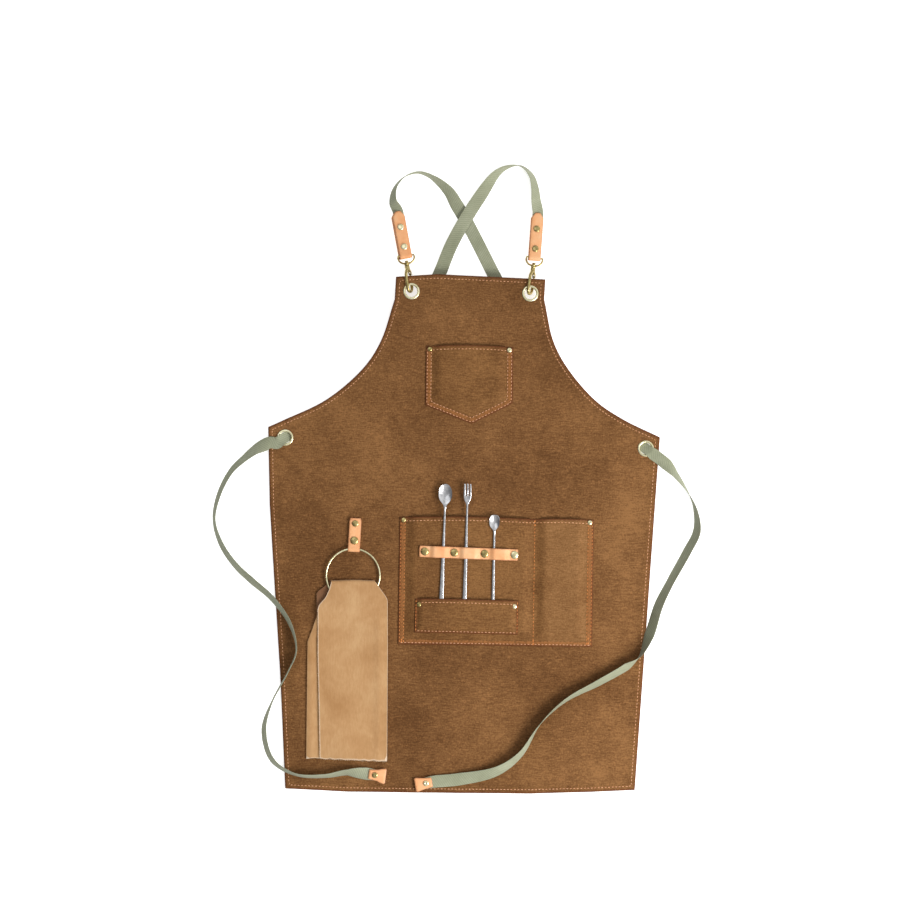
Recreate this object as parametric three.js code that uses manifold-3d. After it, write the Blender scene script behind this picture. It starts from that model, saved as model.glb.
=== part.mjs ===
// Cross-back work apron laid flat on its back: canvas panel with pockets, two webbing straps that
// clip to the bib with swivel snap hooks and tie through waist eyelets, three steel bar tools and
// a cloth on a ring. Millimetres; +X to the right, +Y towards the bib, +Z out of the front face.
import * as THREE from 'three';
import { mergeVertices } from 'three/addons/utils/BufferGeometryUtils.js';
import Module from 'manifold-3d';

const wasm = await Module();
wasm.setup();

// ---- cloth, leather and fitting sizes ----
const GAP = 0.3;
const CLOTH = 1.0;
const HEM_DROP = 3.0;
const HEM_WIDTH = 9;
const PANEL_BACK = HEM_DROP;
const PANEL_FRONT = HEM_DROP + CLOTH;
const BIB_LIFT = 12.5;
const LIFT_FROM = 236;
const LIFT_TO = 303;
const LIFT_STEPS = 8;
const LEATHER = 2.0;
const POCKET_FLANGE = 1.8;
const POCKET_ROOM = 5.5;
const POCKET_SEAM = 9;
const WEB_WIDTH = 20;
const WEB_THICK = 1.1;
const WEB_COLUMNS = 4;
const SECTIONS_PER_STATION = 2;

// ---- panel outline, corner by corner, clockwise from the bib's left corner ----
const BIB_TOP = [[-106, 346], [-43, 350], [125, 342]];
const RIGHT_ARMHOLE = [[123, 311], [137, 249], [162, 202], [202, 156], [247, 125], [303, 98]];
const BOTTOM_EDGE = [[264, -449], [196, -452], [100, -454.5], [-60, -453], [-180, -451.5], [-278, -446.5]];
const LEFT_EDGE = [[-286, -265], [-294, -140], [-302, -8]];
const LEFT_ARMHOLE = [[-304.5, 114], [-280, 125], [-215, 156], [-160, 202], [-129, 249], [-108, 311]];

// ---- rivets: cap radius and dome height ----
const SHAFT_R = 1.5;
const SHAFT_HOLE_R = 1.8;
const RIVET_BACK = 0.9;
const SMALL_CAP = { r: 3.7, h: 1.5 };
const TIP_CAP = { r: 4.4, h: 1.6 };
const TAB_CAP = { r: 5.0, h: 1.8 };
const LARGE_CAP = { r: 6.2, h: 2.2 };

// ---- eyelets ----
const EYELET_R = 9.0;
const EYELET_BARREL_R = 9.6;
const EYELET_RIM_R = 12.75;
const EYELETS = {
  bib_left: [-82, 323.5],
  bib_right: [101.5, 320],
  waist_left: [-278, 97.5],
  waist_right: [281, 80.5],
};

// ---- pockets: mouth centre, turn about Z in degrees, size below the mouth ----
const CHEST = { at: [8, 238], turn: -0.7, width: 135.5, depth: 88, point: 31 };
const WAIST = { at: [50, -28], turn: -0.85, width: 301, depth: 197, divider: 59 };
const TOOL = { at: [3.6, -153], turn: -1.3, width: 160, depth: 53 };
const CORNER_RIVET = [6.2, -4.2];
const TOOL_CORNER_RIVET = [6.4, -9];
const POCKET_TOP = PANEL_FRONT + GAP + POCKET_ROOM + CLOTH;

// ---- leather tool strip ----
const STRIP = { at: [6.6, -81.2], turn: -2.2, width: 153, depth: 17.8, rivets: [-68, -22.5, 24.5, 70.7] };
const STRIP_ARCH = [[0, 0], [1.8, 1.4], [4.2, 4.9], [8, 6.2]];

// ---- towel ring and its tab ----
const RING_AT = [-172.6, -116];
const RING_R = 41.4;
const RING_WIRE_R = 1.6;
const RING_TAB = { x: -171.3, width: 18.4, length: 48, turn: -3.2, rivets: [13.2, 39.7] };
const FOLD_R = 2.5;
const RING_Z = PANEL_FRONT + GAP + LEATHER + FOLD_R;
const TOWEL_THICK = 2.0;
const TOWEL_FOLD_Y = -125;

// ---- bar tools: handle end, lean from +Y in degrees, length ----
const LONG_SPOON = { at: [-37.2, -190], lean: 2.2, length: 216, bowl: [10.4, 15.6], end: 3.9 };
const FORK = { at: [-1, -190], lean: 1.6, length: 216, end: 3.6 };
const SHORT_SPOON = { at: [43.2, -190], lean: 1.15, length: 168, bowl: [7.9, 12.4], end: 2.8 };
const TOOL_THICK = 2.0;
const TOOL_Z = POCKET_TOP + GAP + TOOL_THICK / 2;
const BOWL_DEPTH = 3.6;
const BOWL_RISE = 1.7;
const BOWL_WALL = 0.9;
const NECK_HALF = 1.5;
const FORK_HEAD = { length: 33, half: 5.9, shoulder: 11, slotFrom: 13, slotAt: 1.95, slotHalf: 0.85 };

// ---- snap hooks: swivel point, heading about Z, rest roll, tab heading, all degrees ----
const HOOK_Z = 13.4;
const HOOK_WIRE = 4.4;
const EYE_REACH = 14.5;
const EYE = { half: 14, top: 16, foot: 1, corner: 11, rim: 3, thick: 1.6, bevel: 0.7 };
const BARREL_R = 4.0;
const POST_R = 2.0;
const POST_HOLE_R = 2.35;
const TAB_LENGTH = 70.5;
const TAB_WIDTH = 18.6;
const TAB_LEATHER = 2.2;
const TAB_SLOT = 1.9;
const TAB_PITCH = 6.6;
const TAB_RIVETS = [13.6, 45];
const GATE_PIVOT = [-8.5, -14.5];
const GATE_PIN_R = 0.8;
const GATE_END = -30.6;
const BEND_AT = [-0.5, -34];
const BEND_OUTER_R = 9.9;
const BEND_INNER_R = 6.1;
const HOOKS = {
  left: { at: [-89, 364.4], heading: 6.5, roll: -24, tabHeading: 10.4 },
  right: { at: [106.2, 361], heading: -8.5, roll: -24, tabHeading: -4.4 },
};

// ---- finishes ----
const FINISH = {
  canvas: { color: 0x82603a, roughness: 0.85, metalness: 0 },
  leather: { color: 0xe0a878, roughness: 0.6, metalness: 0 },
  webbing: { color: 0x969e87, roughness: 0.9, metalness: 0 },
  towel: { color: 0xcda06e, roughness: 0.95, metalness: 0 },
  brass: { color: 0xb9a56a, roughness: 0.35, metalness: 1 },
  steel: { color: 0xb8bcc4, roughness: 0.25, metalness: 1 },
};

const apron = new THREE.Group();
apron.name = 'work_apron';

// ---------------------------------------------------------------- solids

function toSolid(geometry) {
  const bare = new THREE.BufferGeometry();
  bare.setAttribute('position', geometry.getAttribute('position'));
  if (geometry.index) bare.setIndex(geometry.index);
  const merged = mergeVertices(bare, 1e-4);
  const vertProperties = new Float32Array(merged.getAttribute('position').array);
  const triVerts = new Uint32Array(merged.index.array);
  return new wasm.Manifold(new wasm.Mesh({ numProp: 3, vertProperties, triVerts }));
}

function toGeometry(solid) {
  const mesh = solid.getMesh();
  const geometry = new THREE.BufferGeometry();
  geometry.setAttribute('position', new THREE.BufferAttribute(mesh.vertProperties, 3));
  geometry.setIndex(new THREE.BufferAttribute(mesh.triVerts, 1));
  geometry.computeVertexNormals();
  return geometry;
}

function cut(solid, tools) {
  return tools.reduce((left, tool) => left.subtract(tool), solid);
}

function join(solids) {
  return solids.reduce((sum, solid) => sum.add(solid));
}

function addPart(name, geometry, finish) {
  const mesh = new THREE.Mesh(geometry, new THREE.MeshStandardMaterial(FINISH[finish]));
  mesh.name = name;
  apron.add(mesh);
}

function shapeOf(points) {
  return new THREE.Shape(points.map(([x, y]) => new THREE.Vector2(x, y)));
}

// Straight prism over a plan outline, from z0 to z1.
function prism(points, z0, z1) {
  const geometry = new THREE.ExtrudeGeometry(shapeOf(points), { depth: z1 - z0, bevelEnabled: false });
  return geometry.translate(0, 0, z0);
}

// Prism whose top outline is the same polygon with its corners moved to topPoints.
function taperedPrism(points, topPoints, z0, z1) {
  const geometry = prism(points, z0, z1);
  const position = geometry.getAttribute('position');
  for (let i = 0; i < position.count; i++) {
    if (position.getZ(i) < (z0 + z1) / 2) continue;
    const corner = [position.getX(i), position.getY(i)];
    const k = points.findIndex(([x, y]) => Math.hypot(x - corner[0], y - corner[1]) < 1e-3);
    position.setXY(i, topPoints[k][0], topPoints[k][1]);
  }
  return geometry;
}

// Outline moved inwards; margins gives the distance for each edge from its first corner on.
function inset(points, margins) {
  const count = points.length;
  const area = points.reduce((sum, [x, y], i) => {
    const [nx, ny] = points[(i + 1) % count];
    return sum + x * ny - nx * y;
  }, 0);
  const side = Math.sign(area);
  const edges = points.map(([x, y], i) => {
    const [nx, ny] = points[(i + 1) % count];
    const length = Math.hypot(nx - x, ny - y);
    const dir = [(nx - x) / length, (ny - y) / length];
    const normal = [-dir[1] * side, dir[0] * side];
    const margin = Array.isArray(margins) ? margins[i] : margins;
    return { base: [x + normal[0] * margin, y + normal[1] * margin], dir };
  });
  return edges.map((edge, i) => {
    const before = edges[(i + count - 1) % count];
    const cross = before.dir[0] * edge.dir[1] - before.dir[1] * edge.dir[0];
    if (Math.abs(cross) < 1e-6) return edge.base;
    const dx = edge.base[0] - before.base[0];
    const dy = edge.base[1] - before.base[1];
    const t = (dx * edge.dir[1] - dy * edge.dir[0]) / cross;
    return [before.base[0] + before.dir[0] * t, before.base[1] + before.dir[1] * t];
  });
}

// Closed plan outline of a band of the given thickness along a centre line.
function bandOutline(line, thick) {
  const sides = [[], []];
  line.forEach(([x, y], i) => {
    const [ax, ay] = line[Math.max(i - 1, 0)];
    const [bx, by] = line[Math.min(i + 1, line.length - 1)];
    const length = Math.hypot(bx - ax, by - ay);
    const nx = (-(by - ay) / length) * (thick / 2);
    const ny = ((bx - ax) / length) * (thick / 2);
    sides[0].push([x + nx, y + ny]);
    sides[1].unshift([x - nx, y - ny]);
  });
  return [...sides[0], ...sides[1]];
}

function turnedAt([x, y], degrees) {
  const turn = new THREE.Matrix4().makeRotationZ(THREE.MathUtils.degToRad(degrees));
  return new THREE.Matrix4().makeTranslation(x, y, 0).multiply(turn);
}

function movePoint(matrix, [x, y], z = 0) {
  const point = new THREE.Vector3(x, y, z).applyMatrix4(matrix);
  return [point.x, point.y];
}

// Extrusion of a YZ profile along X, centred on x = 0.
function alongX(profile, width) {
  const geometry = prism(profile, -width / 2, width / 2);
  const basis = new THREE.Matrix4().makeBasis(
    new THREE.Vector3(0, 1, 0), new THREE.Vector3(0, 0, 1), new THREE.Vector3(1, 0, 0));
  return geometry.applyMatrix4(basis);
}

// Extrusion of an XZ profile along Y, centred on y = 0.
function alongY(profile, width) {
  const geometry = prism(profile, -width / 2, width / 2);
  const basis = new THREE.Matrix4().makeBasis(
    new THREE.Vector3(1, 0, 0), new THREE.Vector3(0, 0, 1), new THREE.Vector3(0, -1, 0));
  return geometry.applyMatrix4(basis);
}

function cylinder([x, y], r, z0, z1, segments = 16) {
  const geometry = new THREE.CylinderGeometry(r, r, z1 - z0, segments);
  return geometry.rotateX(Math.PI / 2).translate(x, y, (z0 + z1) / 2);
}

function hole(at, r, z0 = -1, z1 = 40) {
  return toSolid(cylinder(at, r, z0, z1));
}

// ---------------------------------------------------------------- rivets and eyelets

// Domed rivet through a stack from zBack to zFront, with a flat cap behind.
function rivet(cap, zBack, zFront) {
  const back = zBack - GAP;
  const front = zFront + GAP;
  const profile = [
    [0, back - RIVET_BACK], [cap.r * 0.75, back - RIVET_BACK], [cap.r * 0.8, back],
    [SHAFT_R, back], [SHAFT_R, front], [cap.r, front], [cap.r * 0.92, front + cap.h * 0.5],
    [cap.r * 0.6, front + cap.h * 0.86], [0, front + cap.h],
  ].map(([r, z]) => new THREE.Vector2(r, z));
  return new THREE.LatheGeometry(profile, 12).rotateX(Math.PI / 2);
}

function addRivet(name, cap, [x, y], zBack, zFront) {
  addPart(name, rivet(cap, zBack, zFront).translate(x, y, 0), 'brass');
}

// Front ring of an eyelet with its barrel through the panel and a rolled lip behind.
function eyelet(zBack, zFront) {
  const lip = zBack - 3 * GAP - 0.5;
  const profile = [
    [EYELET_R, lip], [EYELET_BARREL_R + 0.8, lip], [EYELET_BARREL_R + 1, lip + 0.4],
    [EYELET_BARREL_R, lip + 0.4], [EYELET_BARREL_R, zFront + GAP], [EYELET_RIM_R, zFront + GAP],
    [EYELET_RIM_R - 1.1, zFront + 1.0], [EYELET_R + 1.2, zFront + 1.1], [EYELET_R, zFront + 0.6],
    [EYELET_R, lip],
  ].map(([r, z]) => new THREE.Vector2(r, z));
  return new THREE.LatheGeometry(profile, 16).rotateX(Math.PI / 2);
}

function washer(zBack) {
  const top = zBack - GAP;
  const profile = [
    [EYELET_BARREL_R + GAP, top - 0.5], [EYELET_RIM_R - 1.5, top - 0.5], [EYELET_RIM_R - 1, top],
    [EYELET_BARREL_R + GAP, top], [EYELET_BARREL_R + GAP, top - 0.5],
  ].map(([r, z]) => new THREE.Vector2(r, z));
  return new THREE.LatheGeometry(profile, 16).rotateX(Math.PI / 2);
}

function addEyelets() {
  for (const [name, [x, y]] of Object.entries(EYELETS)) {
    const lift = bibLift(y);
    addPart(`eyelet_${name}`, eyelet(PANEL_BACK, PANEL_FRONT).translate(x, y, lift), 'brass');
    addPart(`washer_${name}`, washer(PANEL_BACK).translate(x, y, lift), 'brass');
  }
}

// ---------------------------------------------------------------- panel

// The snap hooks stand on edge and hold the top of the bib up off the floor.
function bibLift(y) {
  const t = THREE.MathUtils.clamp((y - LIFT_FROM) / (LIFT_TO - LIFT_FROM), 0, 1);
  return (BIB_LIFT * (1 - Math.cos(Math.PI * t))) / 2;
}

function liftedSlab(z0, z1) {
  const stations = [-500];
  for (let i = 0; i <= LIFT_STEPS; i++) {
    stations.push(LIFT_FROM + ((LIFT_TO - LIFT_FROM) * i) / LIFT_STEPS);
  }
  stations.push(400);
  const under = stations.map((y) => [y, z0 + bibLift(y)]);
  const over = stations.map((y) => [y, z1 + bibLift(y)]).reverse();
  return toSolid(alongX([...under, ...over], 700));
}

function armhole(points) {
  const curve = new THREE.SplineCurve(points.map(([x, y]) => new THREE.Vector2(x, y)));
  return curve.getSpacedPoints(14).map((point) => [point.x, point.y]);
}

function panelOutline() {
  return [...BIB_TOP, ...armhole(RIGHT_ARMHOLE), ...BOTTOM_EDGE, ...LEFT_EDGE, ...armhole(LEFT_ARMHOLE)];
}

// One cloth layer with a folded hem standing out behind all round.
function apronPanel(rivets) {
  const outline = panelOutline();
  const plate = liftedSlab(PANEL_BACK, PANEL_FRONT).intersect(toSolid(prism(outline, -5, 40)));
  const middle = toSolid(prism(inset(outline, HEM_WIDTH), -6, 41));
  const frame = toSolid(prism(outline, -5, 40)).subtract(middle);
  const hem = liftedSlab(0, PANEL_BACK + CLOTH / 2).intersect(frame);
  const holes = [
    ...Object.values(EYELETS).map((at) => hole(at, EYELET_BARREL_R + GAP)),
    ...rivets.map((at) => hole(at, SHAFT_HOLE_R)),
  ];
  return cut(plate.add(hem), holes);
}

// ---------------------------------------------------------------- pockets

// One raised, open-mouthed front: rim is its plan outline at the seam, mouth edge first.
function pouch(rim, base, slopes) {
  const top = base + POCKET_ROOM + CLOTH;
  const roof = inset(rim, [0, ...slopes.slice(1)]);
  const outer = toSolid(taperedPrism(rim, roof, base, top));
  const lining = inset(rim, [-5, ...slopes.slice(1).map(() => CLOTH)]);
  const ceiling = inset(lining, [0, ...slopes.slice(1)]);
  const room = toSolid(taperedPrism(lining, ceiling, base - 1, top - CLOTH));
  return { outer, room };
}

// Sewn flange all round with raised fronts between the seams.
function pocketSolid(outline, rims, base, matrix, rivets) {
  const flange = toSolid(prism(outline, base, base + POCKET_FLANGE));
  const pouches = rims.map((rim) => pouch(rim, base, rim.map(() => 3)));
  const body = cut(join([flange, ...pouches.map((p) => p.outer)]), pouches.map((p) => p.room));
  return cut(body, rivets.map((at) => hole(at, SHAFT_HOLE_R))).transform(matrix.elements);
}

// A rectangle below a mouth edge, clockwise from the mouth's left corner.
function mouthBox(left, right, depth) {
  return [[left, 0], [right, 0], [right, -depth], [left, -depth]];
}

function cornerRivets(width, [inwards, y] = CORNER_RIVET) {
  return [[-width / 2 + inwards, y], [width / 2 - inwards, y]];
}

function chestPocket() {
  const half = CHEST.width / 2;
  const bottom = [4, -CHEST.depth - CHEST.point];
  const outline = [[-half, 0], [half, 0], [half, -CHEST.depth + 2], bottom, [-half, -CHEST.depth - 4]];
  const rim = inset(outline, [0, POCKET_SEAM, POCKET_SEAM, POCKET_SEAM, POCKET_SEAM]);
  const matrix = turnedAt(CHEST.at, CHEST.turn);
  return pocketSolid(outline, [rim], PANEL_FRONT + GAP, matrix, cornerRivets(CHEST.width));
}

function waistPocket(frontHoles) {
  const half = WAIST.width / 2;
  const outline = mouthBox(-half, half, WAIST.depth);
  const floor = WAIST.depth - POCKET_SEAM;
  const rims = [
    mouthBox(-half + POCKET_SEAM, WAIST.divider - 3, floor),
    mouthBox(WAIST.divider + 3, half - POCKET_SEAM, floor),
  ];
  const matrix = turnedAt(WAIST.at, WAIST.turn);
  const solid = pocketSolid(outline, rims, PANEL_FRONT + GAP, matrix, cornerRivets(WAIST.width));
  return cut(solid, frontHoles.map((at) => hole(at, SHAFT_HOLE_R)));
}

function toolPocket() {
  const half = TOOL.width / 2;
  const rim = mouthBox(-half + POCKET_SEAM, half - POCKET_SEAM, TOOL.depth - POCKET_SEAM);
  const matrix = turnedAt(TOOL.at, TOOL.turn);
  const outline = mouthBox(-half, half, TOOL.depth);
  return pocketSolid(outline, [rim], POCKET_TOP + GAP, matrix, cornerRivets(TOOL.width, TOOL_CORNER_RIVET));
}

// ---------------------------------------------------------------- tool strip

// Leather band riveted down at four points and bulging over each tool between them.
function toolStrip() {
  const line = [[-STRIP.width / 2, 0]];
  const flat = LARGE_CAP.r + 0.8;
  for (let k = 0; k + 1 < STRIP.rivets.length; k++) {
    const from = STRIP.rivets[k] + flat;
    const to = STRIP.rivets[k + 1] - flat;
    line.push(...STRIP_ARCH.map(([dx, z]) => [from + dx, z]));
    line.push(...STRIP_ARCH.map(([dx, z]) => [to - dx, z]).reverse());
  }
  line.push([STRIP.width / 2, 0]);
  const lifted = line.map(([x, z]) => [x, z + POCKET_TOP + GAP + LEATHER / 2]);
  const band = toSolid(alongY(bandOutline(lifted, LEATHER), STRIP.depth));
  const drilled = cut(band, STRIP.rivets.map((x) => hole([x, 0], SHAFT_HOLE_R)));
  return drilled.transform(turnedAt(STRIP.at, STRIP.turn).elements);
}

// ---------------------------------------------------------------- ring, tab and towel

// Profile of a leather strip folded round a wire at the origin: two layers running to +y.
function foldedLoop(length, foldRadius, lower, upper, thick) {
  const r = foldRadius + thick / 2;
  const line = [[length, lower], [r * 2, lower], [r * 0.9, (lower - 2 * r) / 3]];
  for (let i = 0; i <= 10; i++) {
    const angle = -Math.PI / 2 - (Math.PI * i) / 10;
    line.push([r * Math.cos(angle), r * Math.sin(angle)]);
  }
  line.push([r * 0.9, (upper + 2 * r) / 3], [r * 2, upper], [length, upper]);
  return bandOutline(line, thick);
}

function ringTabMatrix() {
  return turnedAt([RING_TAB.x, RING_AT[1] + RING_R - 0.5], RING_TAB.turn);
}

function ringTab() {
  const lower = PANEL_FRONT + GAP + LEATHER / 2 - RING_Z;
  const profile = foldedLoop(RING_TAB.length, FOLD_R, lower, lower + LEATHER + GAP, LEATHER);
  const band = toSolid(alongX(profile, RING_TAB.width).translate(0, 0, RING_Z));
  const holes = ringTabRivets().map((at) => hole(at, SHAFT_HOLE_R));
  return cut(band.transform(ringTabMatrix().elements), holes);
}

function ringTabRivets() {
  return RING_TAB.rivets.map((y) => movePoint(ringTabMatrix(), [0, y]));
}

function towelRing() {
  const [x, y] = RING_AT;
  return new THREE.TorusGeometry(RING_R, RING_WIRE_R, 6, 40).translate(x, y, RING_Z);
}

// Cloth folded over the ring: the front layer lies over the wire, the back layer under it.
function towel() {
  const backTop = PANEL_FRONT + GAP + TOWEL_THICK;
  const frontBase = RING_Z + RING_WIRE_R + GAP;
  const front = [
    [-206, TOWEL_FOLD_Y], [-138, TOWEL_FOLD_Y], [-119, -153], [-120, -401], [-224, -396], [-227, -164],
  ];
  const back = [
    [-206, TOWEL_FOLD_Y], [-138, TOWEL_FOLD_Y], [-121, -153], [-121, -399], [-245, -401], [-243, -221],
    [-229, -185], [-229, -142],
  ];
  const fold = [[-206, TOWEL_FOLD_Y], [-138, TOWEL_FOLD_Y], [-138, -129], [-206, -129]];
  return join([
    toSolid(prism(front, frontBase, frontBase + TOWEL_THICK)),
    toSolid(prism(back, backTop - TOWEL_THICK, backTop)),
    toSolid(prism(fold, backTop - TOWEL_THICK, frontBase + TOWEL_THICK)),
  ]);
}

// ---------------------------------------------------------------- bar tools

function toolMatrix(tool) {
  const matrix = turnedAt(tool.at, -tool.lean);
  return matrix.premultiply(new THREE.Matrix4().makeTranslation(0, 0, TOOL_Z));
}

// Flat handle, widest at its end, up to the neck.
function handle(tool, neckY) {
  const points = [[-tool.end, 0], [-tool.end * 0.8, neckY * 0.25], [-NECK_HALF, neckY], [NECK_HALF, neckY],
    [tool.end * 0.8, neckY * 0.25], [tool.end, 0]];
  return toSolid(prism(points, -TOOL_THICK / 2, TOOL_THICK / 2));
}

function spoon(tool) {
  const [rx, ry] = tool.bowl;
  const rim = TOOL_THICK / 2 + BOWL_RISE;
  const centre = tool.length - ry;
  const dish = (sx, sy, sz) => toSolid(new THREE.SphereGeometry(1, 16, 10)
    .scale(sx, sy, sz).translate(0, centre, rim));
  const below = toSolid(prism([[-30, 0], [30, 0], [30, 400], [-30, 400]], rim - 20, rim));
  const bowl = dish(rx, ry, BOWL_DEPTH).intersect(below);
  const hollow = dish(rx - BOWL_WALL, ry - BOWL_WALL, BOWL_DEPTH - BOWL_WALL);
  const body = bowl.add(handle(tool, centre - ry + 5));
  return toGeometry(body.subtract(hollow).transform(toolMatrix(tool).elements));
}

function fork(tool) {
  const { length, half, shoulder, slotFrom, slotAt, slotHalf } = FORK_HEAD;
  const headBase = tool.length - length;
  const head = [[-NECK_HALF, headBase], [-half, headBase + shoulder], [-half, tool.length], [half, tool.length],
    [half, headBase + shoulder], [NECK_HALF, headBase]];
  const slots = [-slotAt, slotAt].map((x) => {
    const [left, right, from] = [x - slotHalf, x + slotHalf, headBase + slotFrom];
    return toSolid(prism([[left, from], [right, from], [right, 400], [left, 400]], -5, 5));
  });
  const blade = toSolid(prism(head, -TOOL_THICK / 2, TOOL_THICK / 2));
  const body = cut(blade.add(handle(tool, headBase + 0.5)), slots);
  return toGeometry(body.transform(toolMatrix(tool).elements));
}

// ---------------------------------------------------------------- snap hooks

// Hook frames: y runs up towards the strap, z is the height above the swivel axis.
function hookMatrix(hook, roll) {
  const lifted = new THREE.Matrix4().makeTranslation(0, 0, HOOK_Z);
  const rolled = new THREE.Matrix4().makeRotationY(THREE.MathUtils.degToRad(roll));
  return turnedAt(hook.at, hook.heading).premultiply(lifted).multiply(rolled);
}

// Extrusion of a (z, y) profile, centred across the hook.
function acrossHook(profile, thick) {
  const basis = new THREE.Matrix4().makeBasis(
    new THREE.Vector3(0, 0, 1), new THREE.Vector3(0, 1, 0), new THREE.Vector3(-1, 0, 0));
  return toSolid(prism(profile, -thick / 2, thick / 2).applyMatrix4(basis));
}

function rodAlongY(r, y0, y1, segments = 14) {
  return toSolid(new THREE.CylinderGeometry(r, r, y1 - y0, segments).translate(0, (y0 + y1) / 2, 0));
}

function pinThrough([z, y], r, length) {
  return new THREE.CylinderGeometry(r, r, length, 12).rotateZ(Math.PI / 2).translate(0, y, z);
}

// D-shaped eye with the swivel's barrel at its foot.
function hookEye() {
  const { half, top, foot, corner, rim, thick, bevel } = EYE;
  const side = half - corner;
  const middle = foot + corner;
  const inside = corner - rim;
  const quarter = Math.PI / 2;
  const shape = new THREE.Shape();
  shape.moveTo(-half, top).lineTo(-half, middle).absarc(-side, middle, corner, 2 * quarter, 3 * quarter);
  shape.lineTo(side, foot).absarc(side, middle, corner, 3 * quarter, 4 * quarter);
  shape.lineTo(half, top).lineTo(-half, top);
  const inner = new THREE.Path();
  inner.moveTo(rim - half, top - rim).lineTo(half - rim, top - rim);
  inner.absarc(side, middle, inside, 0, -quarter, true).lineTo(-side, foot + rim);
  inner.absarc(-side, middle, inside, -quarter, -2 * quarter, true).lineTo(rim - half, top - rim);
  shape.holes.push(inner);
  const frame = new THREE.ExtrudeGeometry(shape, {
    depth: thick, bevelThickness: bevel, bevelSize: bevel, bevelOffset: -bevel,
    bevelSegments: 1, curveSegments: 6,
  });
  const barrel = rodAlongY(BARREL_R, -1.2, 4);
  return toSolid(frame.translate(0, 0, -thick / 2)).add(barrel).subtract(rodAlongY(POST_HOLE_R, -5, 4.6));
}

// Half circle round the foot of the hook, from its spine side (sense 1) or its nose side (sense -1).
function hookBend(r, sense, steps) {
  const [z, y] = BEND_AT;
  const points = [];
  for (let i = 0; i <= steps; i++) {
    const angle = sense * Math.PI * (0.5 - i / steps);
    points.push([z + r * Math.sin(angle), y - r * Math.cos(angle)]);
  }
  return points;
}

// Swivel post, spine, bend and nose in one piece, slotted for the gate.
function hookBody() {
  const profile = [
    [-4, -5], [4, -5], [9.4, -11], ...hookBend(BEND_OUTER_R, 1, 10), [-10.4, GATE_END], [-6.6, GATE_END],
    ...hookBend(BEND_INNER_R, -1, 8), [5.6, -15], [2, -12], [-5.9, -12], [-5.9, -16.9], [-10.8, -16.9],
    [-10.8, -11.5],
  ];
  const slot = toSolid(new THREE.BoxGeometry(2.4, 8, 5.6).translate(0, -15.6, -8.6));
  const hinge = toSolid(pinThrough(GATE_PIVOT, GATE_PIN_R + GAP, 8));
  const blade = cut(acrossHook(profile, HOOK_WIRE), [slot, hinge]);
  return join([blade, rodAlongY(BARREL_R, -5.6, -1.5), rodAlongY(POST_R, -3, 5.5), rodAlongY(3.2, 5.0, 6.6)]);
}

function hookGate() {
  const [z, y] = GATE_PIVOT;
  const bore = toSolid(pinThrough(GATE_PIVOT, GATE_PIN_R + GAP, 4));
  const eye = toSolid(pinThrough(GATE_PIVOT, 2.2, 1.8)).subtract(bore);
  const neck = acrossHook([[z - 1.6, y - 1.8], [z + 1.6, y - 1.8], [z + 1.6, -18.6], [z - 1.6, -18.6]], 1.8);
  const end = GATE_END + 0.4;
  const bar = acrossHook([[-10.4, -18.2], [-6.6, -18.2], [-6.6, end], [-10.4, end]], 3.8);
  const nub = acrossHook([[-11.8, -19.6], [-10.2, -18.6], [-10.2, -23.5], [-11.8, -22.5]], 3.8);
  return join([eye, neck, bar, nub]);
}

// Tab frame: origin on the eye's straight bar, y up the strap, sloping down to the floor.
function tabMatrix(hook) {
  const bar = new THREE.Vector3(0, EYE_REACH, 0).applyMatrix4(hookMatrix(hook, 0));
  const pitch = new THREE.Matrix4().makeRotationX(THREE.MathUtils.degToRad(-TAB_PITCH));
  const heading = turnedAt([bar.x, bar.y], hook.tabHeading);
  return heading.premultiply(new THREE.Matrix4().makeTranslation(0, 0, bar.z)).multiply(pitch);
}

function hookTab(hook) {
  const layer = TAB_SLOT / 2 + TAB_LEATHER / 2;
  const band = toSolid(alongX(foldedLoop(TAB_LENGTH, 2.7, -layer, layer, TAB_LEATHER), TAB_WIDTH));
  const drilled = cut(band, TAB_RIVETS.map((y) => hole([0, y], SHAFT_HOLE_R, -20, 20)));
  return toGeometry(drilled.transform(tabMatrix(hook).elements));
}

function addHook(side, hook) {
  const still = hookMatrix(hook, 0).elements;
  const rolled = hookMatrix(hook, hook.roll).elements;
  addPart(`hook_eye_${side}`, toGeometry(hookEye().transform(still)), 'brass');
  addPart(`hook_body_${side}`, toGeometry(hookBody().transform(rolled)), 'brass');
  addPart(`hook_gate_${side}`, toGeometry(hookGate().transform(rolled)), 'brass');
  const pin = pinThrough(GATE_PIVOT, GATE_PIN_R, HOOK_WIRE + 0.6);
  addPart(`gate_pin_${side}`, pin.applyMatrix4(hookMatrix(hook, hook.roll)), 'steel');
  addPart(`hook_tab_${side}`, hookTab(hook), 'leather');
  const half = TAB_SLOT / 2 + TAB_LEATHER;
  TAB_RIVETS.forEach((y, i) => {
    const solid = rivet(TAB_CAP, -half, half).translate(0, y, 0).applyMatrix4(tabMatrix(hook));
    addPart(`tab_rivet_${side}_${i + 1}`, solid, 'brass');
  });
}

// ---------------------------------------------------------------- webbing straps

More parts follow.
